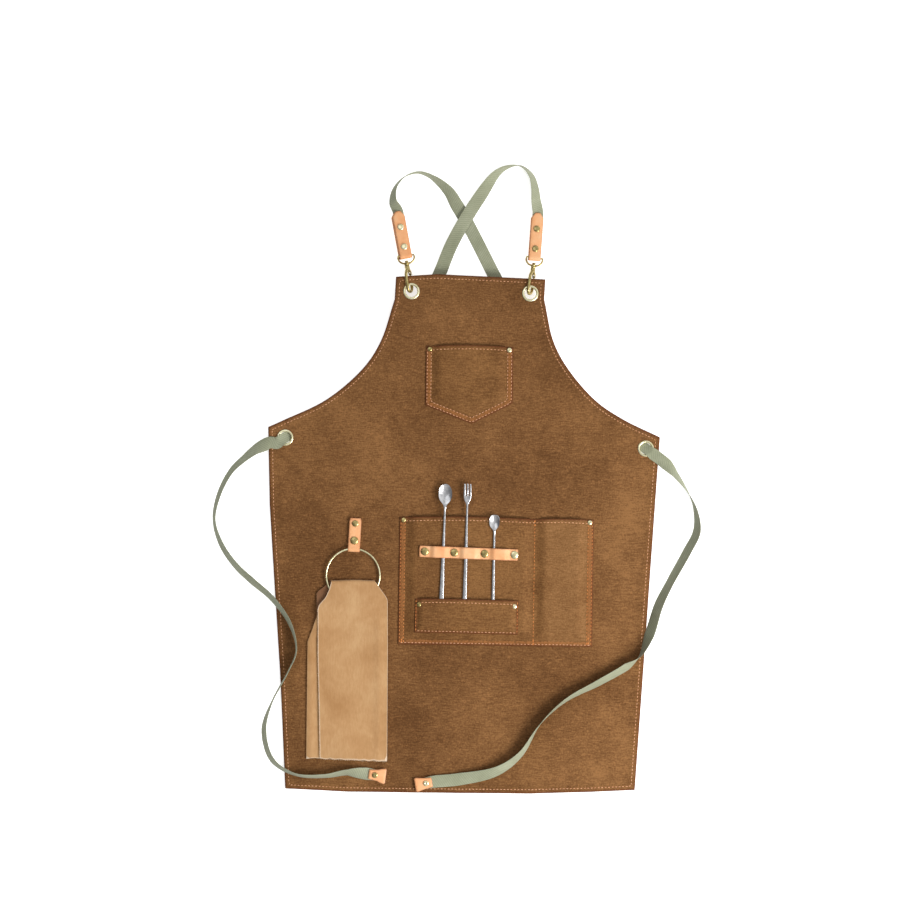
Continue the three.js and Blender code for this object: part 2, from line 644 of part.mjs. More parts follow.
// Route points are [x, y, level, roll, width]: level is the height of what the webbing lies on.
const FLOOR = 0;
const OVER_PANEL = PANEL_FRONT + 0.4;
const FREE_A = [
  [-110.6, 464, 1.2, -55, 1], [-108, 483, 0, -70, 1], [-94, 500, 0, -82, 1], [-72, 507.5, 0, -93, 1],
  [-50, 500, 0, -106, 1], [-24, 478, FLOOR, -140, 1], [-12, 458, FLOOR, -170, 1], [2.5, 434, FLOOR, -180, 1],
  [46, 349, FLOOR, -180, 1], [75, 290, FLOOR, -180, 1], [105, 225, FLOOR, -180, 1],
  [142, 163, FLOOR, -180, 1], [190, 126, FLOOR, -180, 0.9], [246, 105, FLOOR, -180, 0.65],
];
const TIE_A = [
  [303, 64, OVER_PANEL + 1.4, -184, 0.9], [312.5, 56, OVER_PANEL, -200, 1], [325.5, 41.5, 1.5, -236, 1],
  [338.5, 24.5, 0, -252, 1], [350, 5, 0, -268, 1], [358, -18, 0, -284, 1],
  [359.5, -48, 0, -300, 1], [345, -78, 0, -304, 1], [317, -128.5, 0, -300, 1],
  [300.5, -161.4, 2.8, -308, 1], [286, -207, OVER_PANEL, -313, 1],
  [271, -240, OVER_PANEL, -272, 1], [251, -256.5, OVER_PANEL, -230, 1], [207, -282, OVER_PANEL, -235, 1],
  [156, -309, OVER_PANEL, -250, 1], [117, -345, OVER_PANEL, -264, 1], [86.5, -392, OVER_PANEL, -240, 1],
  [50, -418.5, OVER_PANEL, -218, 1], [-8.5, -431.7, OVER_PANEL, -190, 1],
];
const FREE_B = [
  [111, 463, 1.2, 40, 1], [109, 484, 0, 52, 1], [103, 503.5, 0, 62, 1], [86, 518, 0, 78, 1],
  [56, 511, 0, 112, 1], [24, 471, 2.4, 166, 1], [-18, 401, 2.6, 180, 1],
  [-40, 349, FLOOR, 180, 1], [-85, 258, FLOOR, 180, 1],
  [-142, 163, FLOOR, 180, 1], [-195, 134, FLOOR, 180, 0.9], [-245, 115, FLOOR, 180, 0.65],
];
const TIE_B = [
  [-302, 90, OVER_PANEL + 1.4, 182, 0.9], [-311, 85.5, OVER_PANEL, 196, 1], [-325, 78, 2, 222, 1],
  [-341, 65.5, 0.3, 236, 1], [-362, 45, 0, 243, 1], [-381, 7, 0, 246, 1], [-387.5, -30, 0, 252, 1],
  [-376.3, -68, 0, 242, 1], [-354, -100.6, 0, 238, 1],
  [-328, -124.8, 2.5, 235, 1], [-297.6, -151, OVER_PANEL, 240, 1], [-270, -190, OVER_PANEL, 248, 1],
  [-260, -231.7, OVER_PANEL, 262, 1], [-272, -263, OVER_PANEL, 266, 1], [-297.6, -310.8, 3.6, 262, 1],
  [-310.5, -355, 0, 243, 1], [-297.6, -400.7, 3.4, 240, 1], [-262, -423, OVER_PANEL, 245, 1],
  [-214.7, -425.5, OVER_PANEL, 235, 1], [-181, -420, OVER_PANEL, 220, 1],
];
const TIP_LEVEL = PANEL_FRONT + GAP + RIVET_BACK;
const TIP_OUTLINE = [[-9, -7.5], [10, -10.5], [17, -10.5], [17, 10.5], [10, 10.5], [-9, 7.5]];
const TIP_SLOT = [[-12, -9], [15.2, -9], [15.2, 9], [-12, 9]];
const TIPS = {
  right: { at: [-59.7, -437.3], heading: 190 },
  left: { at: [-138.7, -424.6], heading: -8 },
};

// Height of the webbing's centre when it lies on level, turned by roll and width times as wide.
function restingHeight(level, roll, width) {
  const angle = THREE.MathUtils.degToRad(roll);
  const half = (WEB_WIDTH / 2) * width * Math.abs(Math.sin(angle));
  return level + GAP + half + (WEB_THICK / 2) * Math.abs(Math.cos(angle));
}

// Centre, across and face directions and half width of the webbing at every section.
function webbingSections(stations) {
  const curve = new THREE.CatmullRomCurve3(
    stations.map(([x, y, z]) => new THREE.Vector3(x, y, z)), false, 'centripetal');
  const count = SECTIONS_PER_STATION * (stations.length - 1);
  const up = new THREE.Vector3(0, 0, 1);
  return Array.from({ length: count + 1 }, (_, i) => {
    const place = i / SECTIONS_PER_STATION;
    const k = Math.min(Math.floor(place), stations.length - 2);
    const mix = (column) => THREE.MathUtils.lerp(stations[k][column], stations[k + 1][column], place - k);
    const turn = THREE.MathUtils.degToRad(mix(3));
    const along = curve.getTangent(i / count);
    const across = new THREE.Vector3().crossVectors(up, along).normalize();
    const normal = new THREE.Vector3().crossVectors(along, across);
    return {
      centre: curve.getPoint(i / count),
      edge: across.clone().multiplyScalar(Math.cos(turn)).addScaledVector(normal, Math.sin(turn)),
      face: normal.clone().multiplyScalar(Math.cos(turn)).addScaledVector(across, -Math.sin(turn)),
      half: (WEB_WIDTH / 2) * mix(4),
    };
  });
}

// Flat webbing along stations [x, y, z, roll, width]: each section has a row of points on either face.
function webbing(stations) {
  const sections = webbingSections(stations);
  const points = [];
  for (const { centre, edge, face, half } of sections) {
    for (const side of [0.5, -0.5]) {
      for (let j = 0; j <= WEB_COLUMNS; j++) {
        const across = half * ((2 * j) / WEB_COLUMNS - 1);
        points.push(centre.clone().addScaledVector(edge, across).addScaledVector(face, WEB_THICK * side));
      }
    }
  }
  const faces = [];
  const quad = (a, b, c, d) => faces.push(a, b, c, a, c, d);
  const row = WEB_COLUMNS + 1;
  const top = (i, j) => i * 2 * row + j;
  const under = (i, j) => top(i, j) + row;
  const last = sections.length - 1;
  for (let i = 0; i < last; i++) {
    for (let j = 0; j < WEB_COLUMNS; j++) {
      quad(top(i, j), top(i + 1, j), top(i + 1, j + 1), top(i, j + 1));
      faces.push(under(i, j), under(i + 1, j + 1), under(i + 1, j));
      faces.push(under(i, j), under(i, j + 1), under(i + 1, j + 1));
    }
    quad(top(i, 0), under(i, 0), under(i + 1, 0), top(i + 1, 0));
    quad(top(i + 1, WEB_COLUMNS), under(i + 1, WEB_COLUMNS), under(i, WEB_COLUMNS), top(i, WEB_COLUMNS));
  }
  for (let j = 0; j < WEB_COLUMNS; j++) {
    quad(top(0, j), top(0, j + 1), under(0, j + 1), under(0, j));
    quad(under(last, j), under(last, j + 1), top(last, j + 1), top(last, j));
  }
  const geometry = new THREE.BufferGeometry().setFromPoints(points);
  return geometry.setIndex(faces);
}

// Rise through a waist eyelet from under the panel to over its rim, heading [dx, dy].
function throughEyelet([x, y], [dx, dy], roll) {
  const top = PANEL_FRONT + 1.1;
  return [[-15, 0.85, 0.5], [-8, 0.8, 0.42], [8, 6.5, 0.42], [15, top + 1.5, 0.6]].map(
    ([d, z, width]) => [x + dx * d, y + dy * d, z, roll, width]);
}

function tipEnd(tip) {
  const angle = THREE.MathUtils.degToRad(tip.heading);
  const z = TIP_LEVEL + GAP + LEATHER + TAB_SLOT / 2;
  return [-12, 12].map((d) => [tip.at[0] + d * Math.cos(angle), tip.at[1] + d * Math.sin(angle), z]);
}

// One strap from its hook's tab over the floor, through a waist eyelet and on to its leather tip.
function addStrap(name, { hook, free, eyeletAt, heading, tie, tip }) {
  const matrix = tabMatrix(hook);
  const turned = free[free.length - 1][3];
  const inTab = [14, 44, 62, TAB_LENGTH + 1].map((y) => {
    const point = new THREE.Vector3(0, y, 0).applyMatrix4(matrix);
    return [point.x, point.y, point.z, 0, 0.85];
  });
  const rest = ([x, y, level, turn, width]) => [x, y, restingHeight(level, turn, width), turn, width];
  const last = Math.round(tie[tie.length - 1][3] / 180) * 180;
  const stations = [
    ...inTab, ...free.map(rest), ...throughEyelet(eyeletAt, heading, turned), ...tie.map(rest),
    ...tipEnd(tip).map(([x, y, z]) => [x, y, z, last, 0.75]),
  ];
  const band = toSolid(webbing(stations));
  const tabHoles = TAB_RIVETS.map((y) => hole([0, y], SHAFT_HOLE_R, -8, 8).transform(matrix.elements));
  const drilled = cut(band, [...tabHoles, hole(tip.at, SHAFT_HOLE_R)]);
  addPart(name, toGeometry(drilled), 'webbing');
}

// Folded leather end on a tie: two layers with the webbing between them.
function addTip(side, tip) {
  const z0 = TIP_LEVEL + GAP;
  const z1 = z0 + 2 * LEATHER + TAB_SLOT;
  const matrix = turnedAt(tip.at, tip.heading);
  const solid = cut(toSolid(prism(TIP_OUTLINE, z0, z1)), [
    toSolid(prism(TIP_SLOT, z0 + LEATHER, z0 + LEATHER + TAB_SLOT)),
    hole([0, 0], SHAFT_HOLE_R),
  ]);
  addPart(`tip_${side}`, toGeometry(solid.transform(matrix.elements)), 'leather');
  addRivet(`tip_rivet_${side}`, TIP_CAP, tip.at, z0, z1);
}

// ---------------------------------------------------------------- assembly

function placeAll(spec, points) {
  return points.map((point) => movePoint(turnedAt(spec.at, spec.turn), point));
}

const chestRivets = placeAll(CHEST, cornerRivets(CHEST.width));
const waistRivets = placeAll(WAIST, cornerRivets(WAIST.width));
const toolRivets = placeAll(TOOL, cornerRivets(TOOL.width, TOOL_CORNER_RIVET));
const stripRivets = placeAll(STRIP, STRIP.rivets.map((x) => [x, 0]));
const flangeTop = PANEL_FRONT + GAP + POCKET_FLANGE;

const panelRivets = [...chestRivets, ...waistRivets, ...ringTabRivets()];
addPart('apron_panel', toGeometry(apronPanel(panelRivets)), 'canvas');
addPart('chest_pocket', toGeometry(chestPocket()), 'canvas');
addPart('waist_pocket', toGeometry(waistPocket([...toolRivets, ...stripRivets])), 'canvas');
addPart('tool_pocket', toGeometry(toolPocket()), 'canvas');
addPart('tool_strip', toGeometry(toolStrip()), 'leather');
chestRivets.forEach((at, i) => addRivet(`chest_rivet_${i + 1}`, SMALL_CAP, at, PANEL_BACK, flangeTop));
waistRivets.forEach((at, i) => addRivet(`waist_rivet_${i + 1}`, SMALL_CAP, at, PANEL_BACK, flangeTop));
toolRivets.forEach((at, i) => {
  addRivet(`tool_rivet_${i + 1}`, SMALL_CAP, at, POCKET_TOP - CLOTH, POCKET_TOP + GAP + POCKET_FLANGE);
});
stripRivets.forEach((at, i) => {
  addRivet(`strip_rivet_${i + 1}`, LARGE_CAP, at, POCKET_TOP - CLOTH, POCKET_TOP + GAP + LEATHER);
});
addPart('ring_tab', toGeometry(ringTab()), 'leather');
const ringTabTop = PANEL_FRONT + 2 * (GAP + LEATHER);
ringTabRivets().forEach((at, i) => {
  addRivet(`ring_tab_rivet_${i + 1}`, [LARGE_CAP, TAB_CAP][i], at, PANEL_BACK, ringTabTop);
});
addPart('towel_ring', towelRing(), 'brass');
addPart('towel', toGeometry(towel()), 'towel');
addPart('long_spoon', spoon(LONG_SPOON), 'steel');
addPart('fork', fork(FORK), 'steel');
addPart('short_spoon', spoon(SHORT_SPOON), 'steel');
addEyelets();
for (const [side, hook] of Object.entries(HOOKS)) addHook(side, hook);
addStrap('strap_from_left_hook', {
  hook: HOOKS.left,
  free: FREE_A,
  eyeletAt: EYELETS.waist_right,
  heading: [0.8, -0.6],
  tie: TIE_A,
  tip: TIPS.right,
});
addStrap('strap_from_right_hook', {
  hook: HOOKS.right,
  free: FREE_B,
  eyeletAt: EYELETS.waist_left,
  heading: [-0.83, -0.56],
  tie: TIE_B,
  tip: TIPS.left,
});
for (const [side, tip] of Object.entries(TIPS)) addTip(side, tip);

export default apron;
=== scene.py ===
"""Cross-back work apron laid flat on a pale floor, seen from straight above.

Plan coordinates and heights are written in millimetres in the frame's own axes (+X right, +Y towards
the bib, +Z up) and become metres when a mesh is made.
"""
import math

import bmesh
import bpy
import numpy as np
from mathutils import Matrix, Vector, geometry


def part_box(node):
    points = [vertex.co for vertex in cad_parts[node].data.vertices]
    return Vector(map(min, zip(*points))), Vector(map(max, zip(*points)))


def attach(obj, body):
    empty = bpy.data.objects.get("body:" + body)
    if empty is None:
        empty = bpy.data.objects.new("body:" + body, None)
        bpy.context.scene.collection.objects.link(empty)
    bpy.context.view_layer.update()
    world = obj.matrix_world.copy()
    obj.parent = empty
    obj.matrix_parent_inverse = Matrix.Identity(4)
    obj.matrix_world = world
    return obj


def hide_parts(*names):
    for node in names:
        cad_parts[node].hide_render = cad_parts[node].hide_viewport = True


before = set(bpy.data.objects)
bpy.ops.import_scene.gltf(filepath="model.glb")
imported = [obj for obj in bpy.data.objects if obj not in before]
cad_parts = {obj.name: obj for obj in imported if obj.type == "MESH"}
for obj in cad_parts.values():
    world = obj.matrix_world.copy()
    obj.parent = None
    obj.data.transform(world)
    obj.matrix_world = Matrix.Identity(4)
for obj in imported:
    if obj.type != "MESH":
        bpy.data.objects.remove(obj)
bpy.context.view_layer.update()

MM = 0.001
LIGHT_LEVEL = 1.24

# Sizes and heights of the layers.
CLOTH = 1.0
PANEL_TOP = 4.0
HEM_WIDTH = 9.0
HEM_RISE = 0.55
HEM_STITCH = 6.3
BIB_LIFT = 12.5
LIFT_FROM = 236.0
LIFT_TO = 303.0
POCKET_TOP = 10.8
WEB_WIDTH = 20.0
WEB_THICK = 1.3
GAP = 0.3

EYELETS = {
    "bib_left": (-82.0, 323.5),
    "bib_right": (101.5, 320.0),
    "waist_left": (-278.0, 97.5),
    "waist_right": (281.0, 80.5),
}
EYELET_R = 9.0
RIM_R = 12.75
FLAT_ROUND_EYELET = 10

# Pockets are placed by the middle of the mouth. The cloth is flat within "seam" of the sewn edge and
# swells by "rise" over the next "run". Bows are where the mouth arches up: from, to, height. The chest
# pocket's foot is pointed, and given by its corners from right to left.
CHEST = {"at": (8, 238), "turn": -0.7, "width": 135.5, "rise": 3.6, "seam": 9.4, "run": 14,
         "foot": [(67.75, -86), (60, -91), (6, -118.4), (2, -118.4), (-62, -93.5), (-67.75, -91)],
         "bows": ((-67.75, 67.75, 2.8),)}
WAIST = {"at": (50, -28), "turn": -0.85, "width": 301, "depth": 197, "rise": 4.6, "seam": 9.4, "run": 16.4,
         "divider": 59, "bows": ((-150.5, 59, 2.6), (59, 150.5, 1.5))}
TOOL = {"at": (3.6, -153), "turn": -1.3, "width": 160, "depth": 53, "rise": 3.6, "seam": 3.2, "run": 8.5,
        "bows": ((-80, 80, 0.8),)}
MOUTH_STITCH = 5.9
SIDE_STITCHES = (2.2, 8.6)
CHEST_STITCHES = (2.4, 8.4)
STITCH_DIP = 0.9
STRIP = {"at": (6.6, -81.2), "turn": -2.2, "width": 153, "depth": 17.8}
STRIP_RIVETS = (-68, -22.5, 24.5, 70.7)
RING_AT = (-172.6, -116)
RING_R = 41.4
RING_Z = 8.8
RING_TAB = {"x": -171.3, "width": 18.4, "length": 48, "turn": -3.2}

HOOK_Z = 13.4
EYE_REACH = 14.5
TAB_LENGTH = 70.5
TAB_WIDTH = 18.6
TAB_RIVETS = (13.6, 45)
TAB_PITCH = 6.6
# Heading and tab are the turns of the hook and of its leather tab, roll is how far the hook is tipped on
# edge, leaves the webbing's roll where it leaves the tab, shear the slip of the tab's lower layer.
HOOKS = {
    "left": {"at": (-89, 364.4), "heading": 6.5, "roll": -24, "tab": 10.4, "leaves": -20, "shear": -2.4},
    "right": {"at": (106.2, 361), "heading": -8.5, "roll": -24, "tab": -4.4, "leaves": 14, "shear": -0.8},
}


# ---------------------------------------------------------------- plan and height helpers

def turned(spec):
    """Matrix from a part's own plan frame to the apron's."""
    x, y = spec["at"]
    return Matrix.Translation((x, y, 0)) @ Matrix.Rotation(math.radians(spec["turn"]), 4, "Z")


def placed(spec, points):
    """Plan points of a part's own frame, in the apron's."""
    matrix = turned(spec)
    return [tuple((matrix @ Vector((x, y, 0)))[:2]) for x, y in points]


def smooth(t):
    """Soft step from 0 to 1."""
    t = np.clip(t, 0, 1)
    return t * t * (3 - 2 * t)


def ridge(x, middle, half):
    """Rounded ridge, 1 along its middle and falling off to 0 on both sides."""
    return np.exp(-((x - middle) / half) ** 2)


def bib_lift(y):
    """The hooks stand on edge and hold the top of the bib up off the floor."""
    t = np.clip((np.asarray(y, float) - LIFT_FROM) / (LIFT_TO - LIFT_FROM), 0, 1)
    return BIB_LIFT * (1 - np.cos(np.pi * t)) / 2


# Long soft swells of the laid cloth: direction in degrees, wavelength, height, phase in radians.
SWELLS = (
    (12, 190, 0.32, 0.4), (74, 148, 0.34, 2.1), (121, 118, 0.26, 4.4), (158, 92, 0.22, 1.3),
    (33, 76, 0.16, 3.0), (97, 61, 0.12, 5.2), (141, 47, 0.08, 0.9), (5, 39, 0.06, 2.7),
)
# Creases: start, end, half width and height. Each bows aside by CREASE_BOW in its middle.
CREASE_BOW = 5
CREASES = (
    ((262, 66), (150, -12), 15, 1.1), ((258, 50), (196, -60), 13, 1.0), ((268, 40), (236, -96), 12, 0.8),
    ((252, 84), (92, 52), 16, 0.7), ((-252, 88), (-150, 40), 17, 0.7), ((-262, 72), (-214, -24), 14, 0.6),
    ((210, -236), (120, -300), 12, 0.8), ((262, -190), (226, -330), 14, 0.7),
    ((30, -262), (-40, -330), 16, 0.5),
    ((-60, 150), (40, 116), 20, 0.5), ((150, 150), (60, 30), 22, 0.6), ((-250, -210), (-262, -330), 10, 0.6),
    ((90, 300), (40, 250), 12, 0.5), ((-70, 300), (-40, 244), 12, 0.5), ((120, -250), (160, -400), 18, 0.5),
)


def swell(x, y):
    """Height of the laid cloth's own unevenness above the plain sheet. It dies out at the eyelets."""
    x, y = np.asarray(x, float), np.asarray(y, float)
    z = np.zeros_like(x)
    for degrees, length, height, phase in SWELLS:
        a = math.radians(degrees)
        along = x * math.cos(a) + y * math.sin(a)
        z += height * np.sin(2 * math.pi * along / length + phase)
    for (ax, ay), (bx, by), half, height in CREASES:
        dx, dy = bx - ax, by - ay
        length = math.hypot(dx, dy)
        t = ((x - ax) * dx + (y - ay) * dy) / length ** 2
        off = ((x - ax) * dy - (y - ay) * dx) / length
        bow = off - CREASE_BOW * np.sin(np.pi * np.clip(t, 0, 1))
        z += height * ridge(bow, 0, half) * smooth(t / 0.25) * smooth((1 - t) / 0.35)
    for ex, ey in EYELETS.values():
        r = np.hypot(x - ex, y - ey)
        z *= smooth((r - FLAT_ROUND_EYELET) / 26)
    return z


def panel_height(x, y):
    """Height of the canvas's front away from its hem."""
    return PANEL_TOP + bib_lift(y) + swell(x, y)


def line_distance(x, y, points):
    """Distance of places from an open plan polyline."""
    x, y = np.asarray(x, float), np.asarray(y, float)
    best = np.full(x.shape, 1e9)
    for (ax, ay), (bx, by) in zip(points, points[1:]):
        dx, dy = bx - ax, by - ay
        t = np.clip(((x - ax) * dx + (y - ay) * dy) / (dx * dx + dy * dy + 1e-12), 0, 1)
        best = np.minimum(best, np.hypot(x - ax - t * dx, y - ay - t * dy))
    return best


def edge_distance(x, y, outline):
    """Distance of places from a closed plan outline."""
    ring = list(outline)
    return line_distance(x, y, ring + ring[:1])


def smooth_line(points, per, power):
    """Catmull-Rom line through points, of the uniform kind (power 0) or the centripetal (power 0.5)."""
    pts = [np.array(p, float) for p in points]
    pts = [2 * pts[0] - pts[1]] + pts + [2 * pts[-1] - pts[-2]]
    line = []
    for a, b, c, d in zip(pts, pts[1:], pts[2:], pts[3:]):
        ta, tb, tc = (max(1e-4, float(np.linalg.norm(q - p))) ** power for p, q in ((a, b), (b, c), (c, d)))
        mb = ((b - a) / ta - (c - a) / (ta + tb) + (c - b) / tb) * tb
        mc = ((c - b) / tb - (d - b) / (tb + tc) + (d - c) / tc) * tb
        for k in range(per):
            t = k / per
            line.append(b + mb * t + (-3 * b + 3 * c - 2 * mb - mc) * t * t
                        + (2 * b - 2 * c + mb + mc) * t ** 3)
    line.append(pts[-2])
    return np.array(line)


def resample(line, step, closed=False):
    """Evenly spaced points along a plan polyline, keeping its corners."""
    ring = list(line) + ([line[0]] if closed else [])
    out = []
    for a, b in zip(ring, ring[1:]):
        n = max(1, round(math.dist(a, b) / step))
        out += [tuple(np.array(a) + (np.array(b) - np.array(a)) * k / n) for k in range(n)]
    return out if closed else out + [tuple(ring[-1])]


def even(line, step):
    """Points a fixed step apart along a plan polyline."""
    pts = np.array(line, float)
    run = np.r_[0, np.cumsum(np.hypot(*np.diff(pts, axis=0).T))]
    n = max(2, int(run[-1] / step))
    at = np.linspace(0, run[-1], n + 1)
    return np.c_[np.interp(at, run, pts[:, 0]), np.interp(at, run, pts[:, 1])]


def area_of(outline):
    """Area inside a closed plan outline, negative when it runs clockwise."""
    pts = np.array(outline)
    x, y = pts[:, 0], pts[:, 1]
    return 0.5 * float(np.sum(x * np.roll(y, -1) - np.roll(x, -1) * y))


def inset(outline, margin):
    """Closed outline moved inwards by a margin, corner by corner."""
    pts = [np.array(p, float) for p in outline]
    side = 1 if area_of(outline) > 0 else -1
    out = []
    for i, p in enumerate(pts):
        a, b = p - pts[i - 1], pts[(i + 1) % len(pts)] - p
        a, b = a / np.linalg.norm(a), b / np.linalg.norm(b)
        na, nb = np.array([-a[1], a[0]]) * side, np.array([-b[1], b[0]]) * side
        bisector = na + nb
        out.append(tuple(p + bisector * margin / max(0.35, float(bisector @ na))))
    return out


# ---------------------------------------------------------------- mesh helpers

HOLE_POINTS = 28
TRIANGLE_ROW = 0.87


def make_object(name, vertices, faces, material, matrix=None, sharp=60):
    """Mesh object in metres from vertices in millimetres, with its normals facing out."""
    mesh = bpy.data.meshes.new(name)
    points = np.asarray(vertices, float)
    if matrix is not None:
        m = np.array(matrix)
        points = points @ m[:3, :3].T + m[:3, 3]
    mesh.from_pydata((points * MM).tolist(), [], [list(map(int, f)) for f in faces])
    mesh.polygons.foreach_set("use_smooth", [True] * len(mesh.polygons))
    mesh.set_sharp_from_angle(angle=math.radians(sharp))
    mesh.materials.append(material)
    mesh.update()
    obj = bpy.data.objects.new(name, mesh)
    bpy.context.scene.collection.objects.link(obj)
    return obj


def vertex_plan(obj):
    """Plan x and y of every vertex in millimetres."""
    flat = np.empty(len(obj.data.vertices) * 3)
    obj.data.vertices.foreach_get("co", flat)
    return flat[0::3] / MM, flat[1::3] / MM


def set_attribute(obj, name, values):
    """Per-vertex numbers or vectors that a material reads by name."""
    values = np.asarray(values, np.float32)
    kind = "FLOAT_VECTOR" if values.ndim == 2 else "FLOAT"
    layer = obj.data.attributes.new(name, kind, "POINT")
    layer.data.foreach_set("vector" if values.ndim == 2 else "value", values.ravel())


def finish_piece(obj, body, slot, *nodes):
    """Hides the CAD nodes a piece stands in for and attaches it to the body it moves with. The slot is not
    used.
    """
    if nodes:
        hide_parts(*nodes)
    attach(obj, body)
    return obj


class Solid:
    """Vertices and faces of one piece, put together from swept and turned shapes."""

    def __init__(self):
        self.vertices = []
        self.faces = []

    def add(self, vertices, faces):
        """Adds a shape whose faces count from its own first vertex."""
        start = len(self.vertices)
        self.vertices += [tuple(v) for v in vertices]
        self.faces += [[start + i for i in f] for f in faces]

    def turn(self, profile, segments=28, matrix=None):
        """Turns a closed (r, z) profile about Z."""
        matrix = matrix or Matrix.Identity(4)
        vertices = []
        for k in range(segments):
            a = 2 * math.pi * k / segments
            vertices += [matrix @ Vector((r * math.cos(a), r * math.sin(a), z)) for r, z in profile]
        n = len(profile)
        faces = []
        for k in range(segments):
            j = (k + 1) % segments
            for i in range(n):
                o = (i + 1) % n
                if profile[i][0] < 1e-6 and profile[o][0] < 1e-6:
                    continue
                faces.append((k * n + i, j * n + i, j * n + o, k * n + o))
        self.add(vertices, faces)

    def sweep(self, path, radii, sides=12, closed=False, up=(1, 0, 0)):
        """Elliptical tube along a path; radii are (across up, along up) at each point or for all."""
        path = [Vector(p) for p in path]
        if not isinstance(radii, list):
            radii = [radii] * len(path)
        n = len(path)
        vertices = []
        for i, p in enumerate(path):
            before = path[(i - 1) % n] if closed or i else p
            after = path[(i + 1) % n] if closed or i < n - 1 else p
            along = (after - before).normalized()
            side = Vector(up) - along * along.dot(Vector(up))
            side.normalize()
            other = along.cross(side)
            ra, rb = radii[i]
            for k in range(sides):
                a = 2 * math.pi * k / sides
                vertices.append(p + other * ra * math.cos(a) + side * rb * math.sin(a))
        faces = []
        for i in range(n if closed else n - 1):
            j = (i + 1) % n
            for k in range(sides):
                o = (k + 1) % sides
                faces.append((i * sides + k, i * sides + o, j * sides + o, j * sides + k))
        if not closed:
            faces.append(tuple(range(sides))[::-1])
            faces.append(tuple((n - 1) * sides + k for k in range(sides)))
        self.add(vertices, faces)

    def object(self, name, material, matrix=None, sharp=50):
        """Mesh object of everything added so far."""
        obj = make_object(name, self.vertices, self.faces, material, matrix, sharp)
        face_outwards(obj)
        return obj


def face_outwards(obj, weld=True):
    """Welds doubled points, or else drops those that no face uses, and turns every face outwards."""
    shape = bmesh.new()
    shape.from_mesh(obj.data)
    if weld:
        bmesh.ops.remove_doubles(shape, verts=shape.verts, dist=1e-7)
    else:
        bmesh.ops.delete(shape, geom=[v for v in shape.verts if not v.link_faces], context="VERTS")
    bmesh.ops.recalc_face_normals(shape, faces=shape.faces)
    shape.to_mesh(obj.data)
    shape.free()
    obj.data.update()


def circle(centre, r, count):
    """Points evenly round a circle."""
    angles = [2 * math.pi * k / count for k in range(count)]
    return [(centre[0] + r * math.cos(a), centre[1] + r * math.sin(a)) for a in angles]


def slab(name, outline, top, bottom, spacing, material, rings=(), holes=(), sharp=60):
    """Closed sheet over a plan outline. top and bottom give heights from x, y and edge distance.

    Points lie along the outline, the holes, rings at the given distances inside the outline, and a
    triangular grid. A Delaunay mesh of them is laid twice and closed along every free edge.
    """
    if area_of(outline) < 0:
        outline = outline[::-1]
    rim = resample(outline, spacing * 0.8, closed=True)
    points = list(rim)
    loops = [(0, len(rim))]
    for centre, r in holes:
        loops.append((len(points), HOLE_POINTS))
        points += circle(centre, r, HOLE_POINTS)
    for margin in rings:
        inner = inset(rim, margin)
        px, py = np.array(inner).T
        far = edge_distance(px, py, rim) > margin * 0.97
        points += [p for p, ok in zip(inner, far) if ok]
    lo, hi = np.min(rim, axis=0), np.max(rim, axis=0)
    rows = int((hi[1] - lo[1]) / (spacing * TRIANGLE_ROW)) + 1
    columns = int((hi[0] - lo[0]) / spacing) + 2
    grid = [(lo[0] + (i + 0.5 * (j % 2)) * spacing, lo[1] + j * spacing * TRIANGLE_ROW)
            for j in range(rows) for i in range(columns)]
    gx, gy = np.array(grid).T
    clear = edge_distance(gx, gy, rim) > (max(rings) if rings else 0) + 0.45 * spacing
    clear &= inside(gx, gy, rim)
    for centre, r in holes:
        clear &= np.hypot(gx - centre[0], gy - centre[1]) > r + 0.5 * spacing
    points += [p for p, ok in zip(grid, clear) if ok]
    edges = [(s + k, s + (k + 1) % n) for s, n in loops for k in range(n)]
    made = geometry.delaunay_2d_cdt([Vector(p) for p in points], edges, [], 0, 1e-4)
    flat = np.array([tuple(v) for v in made[0]])
    tris = np.array([tuple(f) for f in made[2]])
    middle = flat[tris].mean(axis=1)
    keep = inside(middle[:, 0], middle[:, 1], rim)
    for centre, r in holes:
        keep &= np.hypot(middle[:, 0] - centre[0], middle[:, 1] - centre[1]) > r * 0.995
    tris = tris[keep]
    x, y = flat.T
    e = edge_distance(x, y, rim)
    n = len(flat)
    vertices = np.vstack([np.c_[flat, top(x, y, e)], np.c_[flat, bottom(x, y, e)]])
    faces = [tuple(t) for t in tris] + [(a + n, c + n, b + n) for a, b, c in tris]
    used = dict.fromkeys(edge for a, b, c in tris for edge in ((a, b), (b, c), (c, a)))
    faces += [(b, a, a + n, b + n) for a, b in used if (b, a) not in used]
    obj = make_object(name, vertices, faces, material, sharp=sharp)
    set_attribute(obj, "rim", np.r_[e, e])
    face_outwards(obj, weld=False)
    return obj


def inside(x, y, outline):
    """Which points lie inside a closed plan outline."""
    result = np.zeros(np.shape(x), bool)
    ring = list(outline)
    for (ax, ay), (bx, by) in zip(ring, ring[1:] + ring[:1]):
        if ay == by:
            continue
        crosses = (ay > y) != (by > y)
        result ^= crosses & (x < (bx - ax) * (y - ay) / (by - ay) + ax)
    return result


# ---------------------------------------------------------------- materials

def srgb(r, g, b):
    """Linear colour from 0 to 255 display values."""
    def linear(c):
        c /= 255
        return c / 12.92 if c <= 0.04045 else ((c + 0.055) / 1.055) ** 2.4
    return (linear(r), linear(g), linear(b), 1)


def lit(r, g, b):
    """Colour that a matt surface must have to look as written under this studio's light."""
    return tuple(c / LIGHT_LEVEL for c in srgb(r, g, b)[:3]) + (1,)


